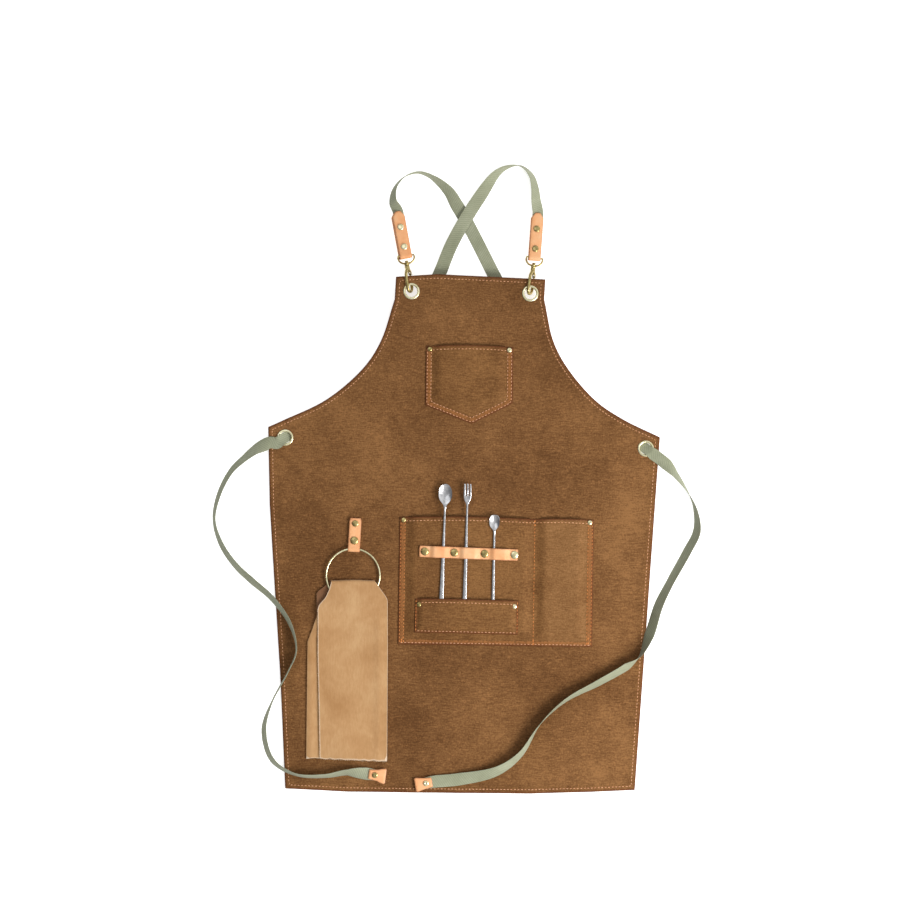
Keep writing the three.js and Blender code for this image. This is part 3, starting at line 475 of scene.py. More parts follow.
class Nodes:
    """Short names for the shader nodes that the materials and the world share."""

    def __init__(self, tree):
        self.tree = tree

    def fill(self, node, inputs):
        """Sets inputs to constants or links them to other nodes' outputs."""
        for key, value in inputs.items():
            if hasattr(value, "is_output"):
                self.tree.links.new(value, node.inputs[key])
            else:
                node.inputs[key].default_value = value

    def node(self, kind, output, inputs=None, **settings):
        """New node of a kind with its settings and inputs. Returns one of its outputs."""
        made = self.tree.nodes.new("ShaderNode" + kind)
        for key, value in settings.items():
            setattr(made, key, value)
        self.fill(made, inputs or {})
        return made.outputs[output]

    def sums(self, a, b, operation="ADD"):
        return self.node("Math", 0, {0: a, 1: b}, operation=operation)

    def mixed(self, *parts):
        """Weighted sum of (value, weight) pairs."""
        total = None
        for value, weight in parts:
            part = value if weight == 1 else self.sums(value, weight, "MULTIPLY")
            total = part if total is None else self.sums(total, part)
        return total

    def span(self, value, low, high, to_low=0.0, to_high=1.0):
        """Maps low..high to to_low..to_high, held at both ends."""
        return self.node("MapRange", "Result", {"Value": value, "From Min": low, "From Max": high,
                                                "To Min": to_low, "To Max": to_high})

    def ramp(self, fac, stops):
        """Colour ramp of (position, colour) stops."""
        made = self.tree.nodes.new("ShaderNodeValToRGB")
        self.fill(made, {"Fac": fac})
        elements = made.color_ramp.elements
        while len(elements) < len(stops):
            elements.new(0.5)
        for element, (place, color) in zip(elements, stops):
            element.position = place
            element.color = color
        return made.outputs["Color"]


class Paint(Nodes):
    """A material under construction. Lengths are in metres, textures follow object coordinates."""

    def __init__(self, name):
        self.material = bpy.data.materials.new(name)
        self.material.use_nodes = True
        super().__init__(self.material.node_tree)
        self.here = self.node("TexCoord", "Object")

    def noise(self, scale, detail=3, rough=0.55, distortion=0):
        """Noise of one scale, or of a scale along each axis."""
        where = self.here
        if isinstance(scale, tuple):
            where = self.node("Mapping", "Vector", {"Vector": self.here, "Scale": scale})
            scale = 1
        return self.node("TexNoise", "Fac", {"Vector": where, "Scale": scale, "Detail": detail,
                                             "Roughness": rough, "Distortion": distortion})

    def wave(self, pitch, direction, where=None, distortion=0.0):
        """Bands a pitch apart across X, Y, Z or the diagonal."""
        return self.node("TexWave", "Fac", {"Vector": where or self.here, "Scale": 2 * math.pi / (20 * pitch),
                                            "Distortion": distortion}, bands_direction=direction)

    def weave(self, pitch, distortion):
        """Crossing bands, as of a plain weave."""
        return self.sums(self.wave(pitch, "X", distortion=distortion),
                         self.wave(pitch, "Y", distortion=distortion), "MULTIPLY")

    def blend(self, fac, a, b):
        return self.node("Mix", "Result", {"Factor": fac, "A": a, "B": b}, data_type="RGBA", blend_type="MIX")

    def attribute(self, name, output="Fac"):
        return self.node("Attribute", output, attribute_name=name)

    def bump(self, height, strength, distance, normal=None):
        inputs = {"Height": height, "Strength": strength, "Distance": distance}
        if normal is not None:
            inputs["Normal"] = normal
        return self.node("Bump", "Normal", inputs)

    def finish(self, color, roughness, normal, **fixed):
        """Fills in the Principled shader and returns the material."""
        inputs = {"Base Color": color, "Roughness": roughness, "Normal": normal}
        inputs.update((key.replace("_", " "), value) for key, value in fixed.items())
        self.fill(self.tree.nodes["Principled BSDF"], inputs)
        return self.material


def canvas_material(name, dark, middle, light):
    """Waxed cotton canvas: slubby plain weave, rubbed pale patches, rust-brown worn seams and hems."""
    p = Paint(name)
    patches = p.noise(6, 3, 0.5, distortion=0.3)
    cloudy = p.noise(34, 4, 0.6)
    warp = p.noise((700, 190, 300), 2, 0.65)
    weft = p.noise((95, 640, 300), 2, 0.65)
    fine = p.noise(420, 2, 0.6)
    fac = p.mixed((patches, 0.27), (cloudy, 0.12), (warp, 0.1), (weft, 0.26), (fine, 0.25))
    cloth = p.ramp(fac, [(0.41, dark), (0.5, middle), (0.59, light)])
    # paler tone for the waist pocket's part right of its divider, blended in by an attribute
    pale = p.ramp(fac, [(0.41, lit(116, 78, 42)), (0.5, lit(138, 97, 56)), (0.59, lit(161, 117, 72))])
    cloth = p.blend(p.attribute("fade"), cloth, pale)
    rubbed = p.mixed((fine, 1), (p.attribute("seam"), 0.34))
    cloth = p.blend(p.span(rubbed, 0.6, 0.95, 0, 0.62), cloth, lit(176, 112, 62))
    hem = p.mixed((p.noise(300, 2, 0.6), 0.6), (p.span(p.attribute("rim"), 0.2, 7.5, 0.62, -0.2), 1))
    cloth = p.blend(p.span(hem, 0.45, 0.85, 0, 0.8), cloth, lit(104, 56, 28))
    dusty = p.span(p.noise(900, 2, 0.5), 0.66, 0.8, 0, 0.12)
    cloth = p.blend(dusty, cloth, lit(176, 138, 94))
    relief = p.bump(p.weave(0.0011, 0.6), 0.35, 0.00025)
    relief = p.bump(p.mixed((warp, 0.5), (weft, 0.5)), 0.35, 0.0006, relief)
    roughness = p.span(fac, 0.42, 0.58, 0.86, 0.7)
    return p.finish(cloth, roughness, relief, Specular_IOR_Level=0.18)


def leather_material():
    """Natural vegetable-tanned leather with fine grain, pores and darker handled edges."""
    p = Paint("leather_natural")
    tone = p.noise(42, 5, 0.62)
    color = p.ramp(tone, [(0.3, lit(244, 170, 112)), (0.52, lit(255, 188, 132)), (0.72, lit(255, 202, 152))])
    edge = p.span(p.sums(p.attribute("rim"), p.noise(500, 2)), 0.5, 2.6, 0.6, 0)
    color = p.blend(edge, color, lit(168, 92, 48))
    pores = p.node("TexVoronoi", "Distance", {"Vector": p.here, "Scale": 900})
    grain = p.bump(pores, 0.22, 0.0002)
    grain = p.bump(p.noise(260, 4, 0.6), 0.2, 0.0004, grain)
    return p.finish(color, p.span(tone, 0.3, 0.7, 0.6, 0.45), grain)


def webbing_material():
    """Cotton webbing: slanted ribs and fine weft lines across it, warp lines along it."""
    p = Paint("webbing_cotton")
    place = p.attribute("strap", "Vector")
    slanted = p.node("Mapping", "Vector", {"Vector": place, "Rotation": (0, 0, 0.5)})
    ribs = p.wave(0.0031, "X", slanted, 0.5)
    weft = p.wave(0.0014, "X", place, 0.4)
    warp = p.wave(0.0019, "Y", place)
    threads = p.mixed((ribs, 0.34), (weft, 0.3), (warp, 0.4))
    speck = p.noise(1400, 2, 0.6)
    tone = p.mixed((p.noise(22, 4, 0.6), 0.7), (speck, 0.3))
    color = p.ramp(tone, [(0.3, lit(150, 154, 126)), (0.52, lit(172, 176, 148)), (0.72, lit(194, 197, 172))])
    color = p.blend(p.span(threads, 0.2, 0.85, 0.55, 0), color, lit(104, 108, 84))
    relief = p.bump(threads, 0.6, 0.0004)
    return p.finish(color, p.span(speck, 0.3, 0.7, 0.85, 0.95), relief, Sheen_Weight=0.08)


def towel_material():
    """Undyed soft woven cloth with an uneven weave, paler raw edges, and painted shade on the back layer's
    corner inside the fold.
    """
    p = Paint("towel_cloth")
    tone = p.noise(15, 5, 0.6, distortion=0.3)
    fac = p.mixed((tone, 0.72), (p.noise((420, 90, 200), 3, 0.7), 0.28))
    color = p.ramp(fac, [(0.36, lit(181, 134, 84)), (0.5, lit(195, 149, 99)), (0.64, lit(209, 166, 116))])
    # painted shade: where the under attribute is set, the cloth turns dark brown to stand in for the shadow
    # inside the fold
    color = p.blend(p.span(p.attribute("under"), 0, 1, 0, 0.85), color, lit(112, 68, 38))
    raw = p.span(p.sums(p.attribute("rim"), p.noise(700, 2)), 0.5, 2.2, 0.9, 0)
    color = p.blend(raw, color, lit(244, 220, 192))
    relief = p.bump(p.weave(0.0009, 0.8), 0.3, 0.0002)
    relief = p.bump(p.noise(90, 4, 0.6), 0.3, 0.0012, relief)
    return p.finish(color, p.span(tone, 0.3, 0.7, 0.95, 0.82), relief, Sheen_Weight=0.2, Sheen_Roughness=0.5)


def metal_material(name, low, high, rough, tarnish=None, pitted=0.02):
    """Metal of an uneven tone with fine scratches. Old metal is also stained and pitted."""
    p = Paint(name)
    color = p.ramp(p.noise(160, 4, 0.6), [(0.32, low), (0.68, high)])
    if tarnish:
        stain = p.span(p.noise(700, 3, 0.7), 0.5, 0.75, 0, 0.6)
        color = p.blend(stain, color, tarnish)
    relief = p.bump(p.noise((2600, 240, 2600), 2, 0.6), 0.01, 0.00005)
    relief = p.bump(p.noise(600, 3, 0.6), pitted, 0.0001, relief)
    roughness = p.span(p.noise(420, 3, 0.6), 0.3, 0.7, rough, rough + 0.12)
    return p.finish(color, roughness, relief, Metallic=1.0)


def thread_material(name, dark, light):
    """Twisted sewing thread."""
    p = Paint(name)
    color = p.ramp(p.noise(300, 3, 0.6), [(0.35, dark), (0.65, light)])
    relief = p.bump(p.wave(math.pi / 5000, "DIAGONAL"), 0.4, 0.0001)
    return p.finish(color, p.span(p.noise(800), 0.3, 0.7, 0.5, 0.7), relief)


def floor_material():
    """Near-white studio floor that glows a little, so that it stays white at the picture's edges."""
    p = Paint("floor_pale")
    tone = p.noise(3, 3, 0.5)
    color = p.ramp(tone, [(0.3, srgb(247, 247, 247)), (0.7, srgb(251, 251, 251))])
    relief = p.bump(p.noise(200, 2, 0.5), 0.05, 0.0002)
    return p.finish(color, p.span(tone, 0.3, 0.7, 0.75, 0.85), relief, Emission_Color=(1, 1, 1, 1),
                    Emission_Strength=0.6)


CANVAS = canvas_material("canvas_waxed", lit(97, 62, 30), lit(124, 84, 46), lit(152, 107, 62))
CANVAS_DARK = canvas_material("canvas_pocket", lit(98, 63, 30), lit(124, 84, 45), lit(150, 106, 60))
LEATHER = leather_material()
WEBBING = webbing_material()
TOWEL = towel_material()
# pale brass: the metal of the eyelets and the ring, and on some rivets a painted highlight
BRASS_PALE_AND_HIGHLIGHT = metal_material("brass_pale_and_highlight", srgb(214, 206, 160), srgb(246, 240, 204), 0.2)
BRASS = metal_material("brass_antique", srgb(142, 124, 74), srgb(206, 188, 130), 0.22, srgb(84, 70, 40), 0.04)
STEEL = metal_material("steel_polished", srgb(178, 179, 182), srgb(218, 218, 220), 0.14, pitted=0.0)
THREAD = thread_material("thread_rust", lit(222, 152, 104), lit(250, 190, 148))
THREAD_SIDE = thread_material("thread_orange", lit(204, 112, 40), lit(236, 150, 72))
FRAY = thread_material("towel_threads", lit(214, 172, 126), lit(246, 222, 192))
FLOOR = floor_material()


# ---------------------------------------------------------------- camera, floor and light

CAMERA_AT = (-0.0225, 0.0783)
PICTURE_ACROSS = 1.395
FLOOR_HALF = 6000
FLOOR_Z = -0.6


def add_camera():
    """Straight above the apron, at the height where the picture spans PICTURE_ACROSS on the canvas."""
    data = bpy.data.cameras.new("camera")
    data.lens = 85
    data.sensor_width = 36
    data.clip_end = 20
    camera = bpy.data.objects.new("camera", data)
    camera.location = (*CAMERA_AT, PANEL_TOP * MM + PICTURE_ACROSS * data.lens / data.sensor_width)
    bpy.context.scene.collection.objects.link(camera)
    bpy.context.scene.camera = camera


def add_light(name, place, size, power, color):
    """Round soft light aimed at the apron's middle."""
    data = bpy.data.lights.new(name, "AREA")
    data.shape = "DISK"
    data.size = size
    data.energy = power
    data.color = color
    light = bpy.data.objects.new(name, data)
    light.location = place
    light.rotation_euler = (-Vector(place)).to_track_quat("-Z", "Y").to_euler()
    bpy.context.scene.collection.objects.link(light)


def add_world():
    """Studio surroundings, dark on the left and bright on the right, for soft shade and for metals."""
    world = bpy.data.worlds.new("studio")
    bpy.context.scene.world = world
    world.use_nodes = True
    nodes = Nodes(world.node_tree)
    where = nodes.node("TexCoord", "Generated")
    rightwards = nodes.node("SeparateXYZ", "X", {"Vector": where})
    shade = nodes.ramp(nodes.span(rightwards, -1, 1), [(0, (0.1, 0.1, 0.11, 1)), (1, (1.48, 1.47, 1.45, 1))])
    nodes.fill(world.node_tree.nodes["Background"], {"Color": shade, "Strength": 0.8})
    bpy.context.scene.view_settings.view_transform = "Standard"


def add_floor():
    """Plain floor, much wider than the picture."""
    corners = [(x * FLOOR_HALF, y * FLOOR_HALF, FLOOR_Z) for x, y in ((-1, -1), (1, -1), (1, 1), (-1, 1))]
    make_object("floor", corners, [(0, 1, 2, 3)], FLOOR)


add_camera()
add_world()
add_floor()
add_light("key", (1.15, -0.75, 1.3), 0.9, 32, (1.0, 0.985, 0.96))
add_light("fill", (-1.0, 1.2, 2.4), 2.2, 10, (0.97, 0.985, 1.0))

# ---------------------------------------------------------------- straps

# Route points are (x, y, level, roll) and a width where the webbing is gathered. Level is the height of
# what the webbing lies on: 0 on the floor, ON_PANEL on the apron. Roll turns the band about its run.
ON_PANEL = 4.4
FREE_A = [
    (-110.6, 464, 1.2, -55), (-108, 483, 0, -70), (-94, 500, 0, -82), (-72, 507.5, 0, -93),
    (-50, 500, 0, -106), (-24, 478, 0, -140), (-12, 458, 0, -170), (2.5, 434, 0, -180),
    (46, 349, 0, -180), (75, 290, 0, -180), (105, 225, 0, -180), (142, 163, 0, -180),
    (190, 126, 0, -180, 0.95), (246, 105, 0, -180, 0.9),
]
TIE_A = [
    (303, 64, ON_PANEL + 1.4, -184, 0.9), (312.5, 56, ON_PANEL, -200), (325.5, 41.5, 1.5, -236),
    (338.5, 24.5, 0, -252), (350, 5, 0, -268), (358, -18, 0, -284), (359.5, -48, 0, -300),
    (345, -78, 0, -304), (317, -128.5, 0, -300), (300.5, -161.4, 2.8, -308), (286, -207, ON_PANEL, -313),
    (271, -240, ON_PANEL, -272), (251, -256.5, ON_PANEL, -230), (207, -282, ON_PANEL, -235),
    (156, -309, ON_PANEL, -250), (117, -345, ON_PANEL, -264), (86.5, -392, ON_PANEL, -240),
    (50, -418.5, ON_PANEL, -218), (-8.5, -431.7, ON_PANEL, -190),
]
FREE_B = [
    (111, 463, 1.2, 40), (109, 484, 0, 52), (103, 503.5, 0, 62), (86, 518, 0, 78), (56, 511, 0, 112),
    (24, 471, 2.4, 166), (-18, 401, 2.6, 180), (-40, 349, 0, 180), (-85, 258, 0, 180),
    (-142, 163, 0, 180), (-195, 134, 0, 180, 0.95), (-245, 115, 0, 180, 0.9),
]
TIE_B = [
    (-302, 90, ON_PANEL + 1.4, 182, 0.9), (-311, 85.5, ON_PANEL, 196), (-325, 78, 2, 222),
    (-341, 65.5, 0.3, 236), (-362, 45, 0, 243), (-381, 7, 0, 246), (-387.5, -30, 0, 252),
    (-376.3, -68, 0, 242), (-354, -100.6, 0, 238), (-328, -124.8, 2.5, 235), (-297.6, -151, ON_PANEL, 240),
    (-270, -190, ON_PANEL, 248), (-260, -231.7, ON_PANEL, 262), (-272, -263, ON_PANEL, 266),
    (-297.6, -310.8, 3.6, 262), (-310.5, -355, 0, 243), (-297.6, -400.7, 3.4, 240),
    (-262, -423, ON_PANEL, 250), (-214.7, -425.5, ON_PANEL, 245), (-181, -420, ON_PANEL, 236),
]
# Leather tips: place, turn, half width of the wide end, and the dimple and metal of the rivet.
TIPS = {
    "right": {"at": (-59.7, -437.3), "turn": 190, "wide": 10.9, "dimple": 1.0, "metal": BRASS_PALE_AND_HIGHLIGHT},
    "left": {"at": (-138.7, -424.6), "turn": -8, "wide": 11.9, "dimple": 0.3, "metal": BRASS},
}
TIP_MIDDLE = 8.45
TIP_HALF = 3.0


def hook_frame(side, rolled=True):
    """Origin at the swivel, y up the strap. The body is rolled on edge, the eye isn't."""
    hook = HOOKS[side]
    x, y = hook["at"]
    still = Matrix.Translation((x, y, HOOK_Z)) @ Matrix.Rotation(math.radians(hook["heading"]), 4, "Z")
    return still @ Matrix.Rotation(math.radians(hook["roll"]), 4, "Y") if rolled else still


def tab_frame(side):
    """Origin on the eye's straight bar, y up the strap, sloping down to the floor."""
    bar = hook_frame(side, rolled=False) @ Vector((0, EYE_REACH, 0))
    turn = Matrix.Rotation(math.radians(HOOKS[side]["tab"]), 4, "Z")
    return Matrix.Translation(bar) @ turn @ Matrix.Rotation(math.radians(-TAB_PITCH), 4, "X")


def resting(x, y, level, roll, width=1):
    """Station of a band that lies or stands on something: x, y, z, roll, width and curl."""
    a = math.radians(roll)
    if level >= ON_PANEL:
        level += float(swell(x, y))
    z = level + GAP + WEB_WIDTH / 2 * width * abs(math.sin(a)) + 0.55 * abs(math.cos(a))
    return (x, y, z, roll, width, 0)


def strap_stations(side, free, eyelet, heading, tie, tip):
    """The whole route: from the hook's tab over the floor, up through the eyelet and along the tie."""
    tab, leaves = tab_frame(side), HOOKS[side]["leaves"]
    inside_tab = [tuple(tab @ Vector((0, y, 0))) + (turn, 0.85, 0)
                  for y, turn in ((14, 0), (44, 0), (62, 0), (TAB_LENGTH + 1, leaves))]
    (x, y), (dx, dy), turn = EYELETS[eyelet], heading, free[-1][3]
    through = [(x + dx * d, y + dy * d, z, turn, width, curl) for d, z, width, curl in (
        (-15, 0.85, 0.85, 0), (-8, 0.8, 0.8, 0.2), (8, 6.4, 0.82, 1), (15, 6.3, 0.93, 0.6))]
    last = round(tie[-1][3] / 180) * 180
    (x, y), a = TIPS[tip]["at"], math.radians(TIPS[tip]["turn"])
    ends = [(x + d * math.cos(a), y + d * math.sin(a), TIP_MIDDLE, last, width, 0)
            for d, width in ((-12, 0.94), (12, 0.75))]
    return inside_tab + [resting(*p) for p in free] + through + [resting(*p) for p in tie] + ends


def band_faces(stations, row):
    """Quads of a closed band: each station has a front row of points, then a back row."""
    faces = []
    for i in range(stations - 1):
        a, b = i * 2 * row, (i + 1) * 2 * row
        for j in range(row - 1):
            faces.append((a + j, b + j, b + j + 1, a + j + 1))
            faces.append((a + row + j, a + row + j + 1, b + row + j + 1, b + row + j))
        faces.append((a, a + row, b + row, b))
        faces.append((a + row - 1, b + row - 1, b + 2 * row - 1, a + 2 * row - 1))
    end = (stations - 1) * 2 * row
    for j in range(row - 1):
        faces.append((j, j + 1, row + j + 1, row + j))
        faces.append((end + j, end + row + j, end + row + j + 1, end + j + 1))
    return faces


CURL_DEPTH = 14


def webbing_strap(name, stations, per=7, columns=8):
    """Flat woven band with thickness and rounded edges; a narrowed stretch curls across its width."""
    line = smooth_line([s[:3] for s in stations], per, 0.5)
    along = np.gradient(line, axis=0)
    along /= np.linalg.norm(along, axis=1)[:, None]
    run = np.r_[0, np.cumsum(np.linalg.norm(np.diff(line, axis=0), axis=1))]
    knots = np.arange(len(stations))
    place = np.linspace(0, len(stations) - 1, len(line))
    roll, width, curl = (np.interp(place, knots, [s[c] for s in stations]) for c in (3, 4, 5))
    vertices, coords = [], []
    across_steps = np.linspace(-1, 1, columns + 1)
    for i, centre in enumerate(line):
        across = np.cross((0, 0, 1), along[i])
        across /= np.linalg.norm(across)
        normal = np.cross(along[i], across)
        a = math.radians(roll[i])
        edge = across * math.cos(a) + normal * math.sin(a)
        face = normal * math.cos(a) - across * math.sin(a)
        upwards = np.sign(face[2]) or 1.0
        half = WEB_WIDTH / 2 * width[i]
        bow = curl[i] * (1 - width[i]) * CURL_DEPTH
        for side in (1, -1):
            for s in across_steps:
                thick = WEB_THICK / 2 * (1 - 0.72 * abs(s) ** 8)
                up = bow * (s * s - 0.4) * upwards
                vertices.append(centre + edge * half * s + face * (side * thick + up))
                coords.append((run[i] * MM, WEB_WIDTH / 2 * s * MM, side * MM))
    faces = band_faces(len(line), columns + 1)
    obj = make_object(name, vertices, faces, WEBBING, sharp=75)
    set_attribute(obj, "strap", coords)
    return obj, line


def tip_outline(wide):
    """Narrow end at -x, sides drawn in a little, rounded corners at the wide end."""
    side = [(-9.7, 6.4), (-8.8, 7.4), (-3, 7.9), (4, 8.8), (10, wide - 0.9), (14.6, wide),
            (16.2, wide - 0.6), (17, wide - 2)]
    return side[::-1] + [(x, -y) for x, y in side]


def leather_tip(side):
    """Two leather layers folded over the end of the tie, the fold at the wide end."""
    tip = TIPS[side]
    outline = placed(tip, tip_outline(tip["wide"]))
    middle = np.array(tip["at"])

    def top(x, y, e):
        pressed = 0.4 * ridge(np.hypot(x - middle[0], y - middle[1]), 0, 6)
        return TIP_MIDDLE + TIP_HALF - pressed - 0.9 * (1 - smooth(e / 1.6))

    def bottom(x, y, e):
        return TIP_MIDDLE - TIP_HALF + 0.05 + 0.7 * (1 - smooth(e / 1.2))

    obj = slab(f"tip_{side}_leather", outline, top, bottom, 2.4, LEATHER, rings=(0.8, 2.0))
    return finish_piece(obj, "apron", "leather", f"tip_{side}")


# Height of a rivet's dome by its cap's radius.
DOMES = {3.7: 1.5, 4.4: 1.6, 5.0: 1.8, 6.2: 2.2}
TAB_RIVET_R = 5.0
TAB_RIVET_HALF = 3.45


def dome_profile(r, back, front, height):
    """Closed (r, z) profile of a rivet: flat cap behind, post, domed cap with a rolled lip."""
    lip = front + 0.35
    crown = [(r * math.cos(a), lip + (front + height - lip) * math.sin(a))
             for a in np.linspace(0.05, math.pi / 2, 9)]
    crown[-1] = (0, front + height)
    return [(0, back - 0.9), (r * 0.72, back - 0.9), (r * 0.8, back - 0.4), (r * 0.8, back), (1.5, back),
            (1.5, front), (r * 0.93, front), (r, front + 0.15)] + crown


def rivet(node, name, material, matrix=None, dimple=0.0):
    """Smooth rivet in the place and size of its CAD node; a tab's rivets are placed by a matrix."""
    if matrix is None:
        low, high = (np.array(corner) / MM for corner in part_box(node))
        r = (high[0] - low[0]) / 2
        height = DOMES[round(float(r), 1)]
        profile = dome_profile(r, low[2] + 0.9, high[2] - height, height)
        matrix = Matrix.Translation(((low[0] + high[0]) / 2, (low[1] + high[1]) / 2, 0))
    else:
        profile = dome_profile(TAB_RIVET_R, -TAB_RIVET_HALF, TAB_RIVET_HALF, DOMES[TAB_RIVET_R])
    if dimple:
        top = max(z for _, z in profile)
        profile = [(r, z - dimple * math.exp(-(r / 1.4) ** 2) if z > top - 1.2 else z) for r, z in profile]
    solid = Solid()
    solid.turn(profile, 28, matrix)
    return finish_piece(solid.object(name, material), "apron", "brass", node)


def add_strap(name, side, free, eyelet, heading, tie, tip):
    """Webbing and leather tip of the strap that starts at one hook."""
    obj, line = webbing_strap(name + "_webbing", strap_stations(side, free, eyelet, heading, tie, tip))
    finish_piece(obj, "apron", "webbing", name)
    leather = leather_tip(tip)
    cap = rivet(f"tip_rivet_{tip}", f"tip_{tip}_rivet", TIPS[tip]["metal"], dimple=TIPS[tip]["dimple"])
    length = float(np.sum(np.linalg.norm(np.diff(line, axis=0), axis=1)))
    [tuple(p * MM) for p in line]


add_strap("strap_from_left_hook", "left", FREE_A, "waist_right", (0.8, -0.6), TIE_A, "right")
add_strap("strap_from_right_hook", "right", FREE_B, "waist_left", (-0.83, -0.56), TIE_B, "left")

# ---------------------------------------------------------------- panel

TOP_EDGE = [(-106, 346), (-43, 350), (125, 342)]
RIGHT_ARMHOLE = [(123, 311), (137, 249), (162, 202), (202, 156), (247, 125), (303, 98)]
LEFT_ARMHOLE = [(-304.5, 114), (-280, 125), (-215, 156), (-160, 202), (-129, 249), (-108, 311)]
BOTTOM_EDGE = [(264, -449), (196, -452), (100, -454.5), (-60, -453), (-180, -451.5), (-278, -446.5)]
LEFT_EDGE = [(-286, -265), (-294, -140), (-302, -8)]
PANEL_OUTLINE = (
    TOP_EDGE + smooth_line(RIGHT_ARMHOLE, 8, 0).tolist()
    + BOTTOM_EDGE + LEFT_EDGE + smooth_line(LEFT_ARMHOLE, 8, 0).tolist()
)[::-1]


def hem_top(e):
    """Extra height of the folded hem, dipping where the stitches pull it down."""
    return HEM_RISE * smooth((HEM_WIDTH + 1.2 - e) / 1.8) - 0.3 * ridge(e, HEM_STITCH, STITCH_DIP)


def panel_top(x, y, e):
    """Front of the canvas, puckered along the hem and rounded at its edge."""
    pucker = 0.12 * np.sin(x * 0.61 + 0.3 * y) * ridge(e, 5, 4)
    return panel_height(x, y) + hem_top(e) + pucker - 1.5 * (1 - smooth((e + 0.3) / 1.6))


def panel_bottom(x, y, e):
    """Back of the canvas: down to the floor under the hem, one layer thick inside it."""
    under_hem = 0.35 + bib_lift(y) + 1.2 * (1 - smooth((e + 0.2) / 1.2))
    middle = panel_height(x, y) - CLOTH
    return under_hem + (middle - under_hem) * smooth((e - HEM_WIDTH) / 1.6)


def add_panel():
    """The apron's body in one piece of canvas, with holes for the four eyelets."""
    holes = [(at, EYELET_R + 0.5) for at in EYELETS.values()]
    obj = slab("apron_panel_canvas", PANEL_OUTLINE, panel_top, panel_bottom, 6.0, CANVAS,
               rings=(0.7, 1.6, 3.4, 5.2, 6.3, 7.4, 9.2, 10.8), holes=holes)
    finish_piece(obj, "apron", "canvas", "apron_panel")
    size = np.ptp(PANEL_OUTLINE, axis=0)
    abs(area_of(PANEL_OUTLINE)) * MM * MM


# ---------------------------------------------------------------- pockets

def local_points(spec, x, y):
    """Points in a pocket's own frame: x from its middle, y down from its mouth (negative inside)."""
    a = math.radians(-spec["turn"])
    dx, dy = np.asarray(x) - spec["at"][0], np.asarray(y) - spec["at"][1]
    return dx * math.cos(a) - dy * math.sin(a), dx * math.sin(a) + dy * math.cos(a)


def mouth_bow(spec, u):
    """How far the mouth arches above the straight line between its corners."""
    total = np.zeros(np.shape(u))
    for start, end, height in spec["bows"]:
        t = np.clip((u - start) / (end - start), 0, 1)
        total = total + height * 4 * t * (1 - t)
    return total


def mouth_line(spec):
    """Points along the mouth between its corners, from left to right."""
    half = spec["width"] / 2
    us = np.linspace(-half, half, 17)[1:-1]
    return [(float(u), float(mouth_bow(spec, u))) for u in us]


def seam_distance(spec, x, y):
    """Distance from the sewn sides and foot, and from the divider's row."""
    best = line_distance(x, y, sewn_sides(spec))
    if "divider" in spec:
        u, _ = local_points(spec, x, y)
        best = np.minimum(best, np.abs(u - spec["divider"]) + spec["seam"] - 1.5)
    return best


def pocket_heights(spec, base):
    """Top and bottom of a patch pocket: sewn flat at its sides and foot, open and puffed at its mouth."""
    def puff(s):
        return spec["rise"] * smooth((s - spec["seam"]) / spec["run"])

    def top(x, y, e):
        u, v = local_points(spec, x, y)
        v = v - mouth_bow(spec, u)
        s = seam_distance(spec, x, y)
        mouth = (0.35 * smooth((11 + v) / 1.6) - 0.32 * ridge(v, -MOUTH_STITCH, 1.0)) * smooth((s - 3) / 4)
        rows = 0.3 * sum(ridge(s, row, STITCH_DIP) for row in SIDE_STITCHES)
        fold = 0.5 * smooth((9.5 - s) / 1.5)
        edge = 0.8 * (1 - smooth((e + 0.2) / 1.3))
        return base(x, y) + CLOTH + puff(s) + mouth - rows + fold - edge

    def bottom(x, y, e):
        hollow = np.maximum(0, puff(seam_distance(spec, x, y)) - 0.2)
        return base(x, y) + 0.05 + hollow + 0.2 * (1 - smooth(e / 1.2))

    return top, bottom


def sewn_sides(spec):
    """Corners of the sewn edge, from the right end of the mouth round to its left end."""
    half = spec["width"] / 2
    foot = spec.get("foot") or [(half, -spec["depth"]), (-half, -spec["depth"])]
    return placed(spec, [(half, 0)] + foot + [(-half, 0)])


def pocket_outline(spec):
    """Closed outline of a pocket in the apron's plan."""
    return sewn_sides(spec) + placed(spec, mouth_line(spec))


def on_panel(x, y):
    """Where a pocket's sewn edge lies on the panel."""
    return panel_height(x, y) + GAP


def add_pocket(name, spec, base, node, spacing=4.0):
    """Patch pocket on a base height. Returns its top surface as a function of x and y."""
    outline = pocket_outline(spec)
    top, bottom = pocket_heights(spec, base)
    obj = slab(name, outline, top, bottom, spacing, CANVAS_DARK,
               rings=(0.6, 1.4, 2.2, 3.2, 4.8, 5.9, 7.2, 8.6, 9.6, 11), sharp=65)
    x, y = vertex_plan(obj)
    s = seam_distance(spec, x, y)
    u, _ = local_points(spec, x, y)
    worn, faded = 0 * s, 0 * s
    if spec is not TOOL:
        worn = smooth((s - 2.4) / 1.0) * smooth((8.4 - s) / 1.2)
    # the part right of the divider is coloured paler, rising over 22 mm
    if "divider" in spec:
        faded = smooth((u - spec["divider"] - 6) / 22)
    set_attribute(obj, "seam", worn)
    set_attribute(obj, "fade", faded)
    finish_piece(obj, "apron", "canvas", node)
    size = (spec["width"] * MM, np.ptp(local_points(spec, *np.array(outline).T)[1]) * MM)
    abs(area_of(outline)) * MM * MM
    return lambda x, y: top(x, y, edge_distance(x, y, outline))


add_panel()
chest_top = add_pocket("chest_pocket_canvas", CHEST, on_panel, "chest_pocket")
waist_top = add_pocket("waist_pocket_canvas", WAIST, on_panel, "waist_pocket")


def on_waist_front(x, y):
    """Where the tool pocket's sewn edge lies on the waist pocket."""
    return waist_top(x, y) + 0.15


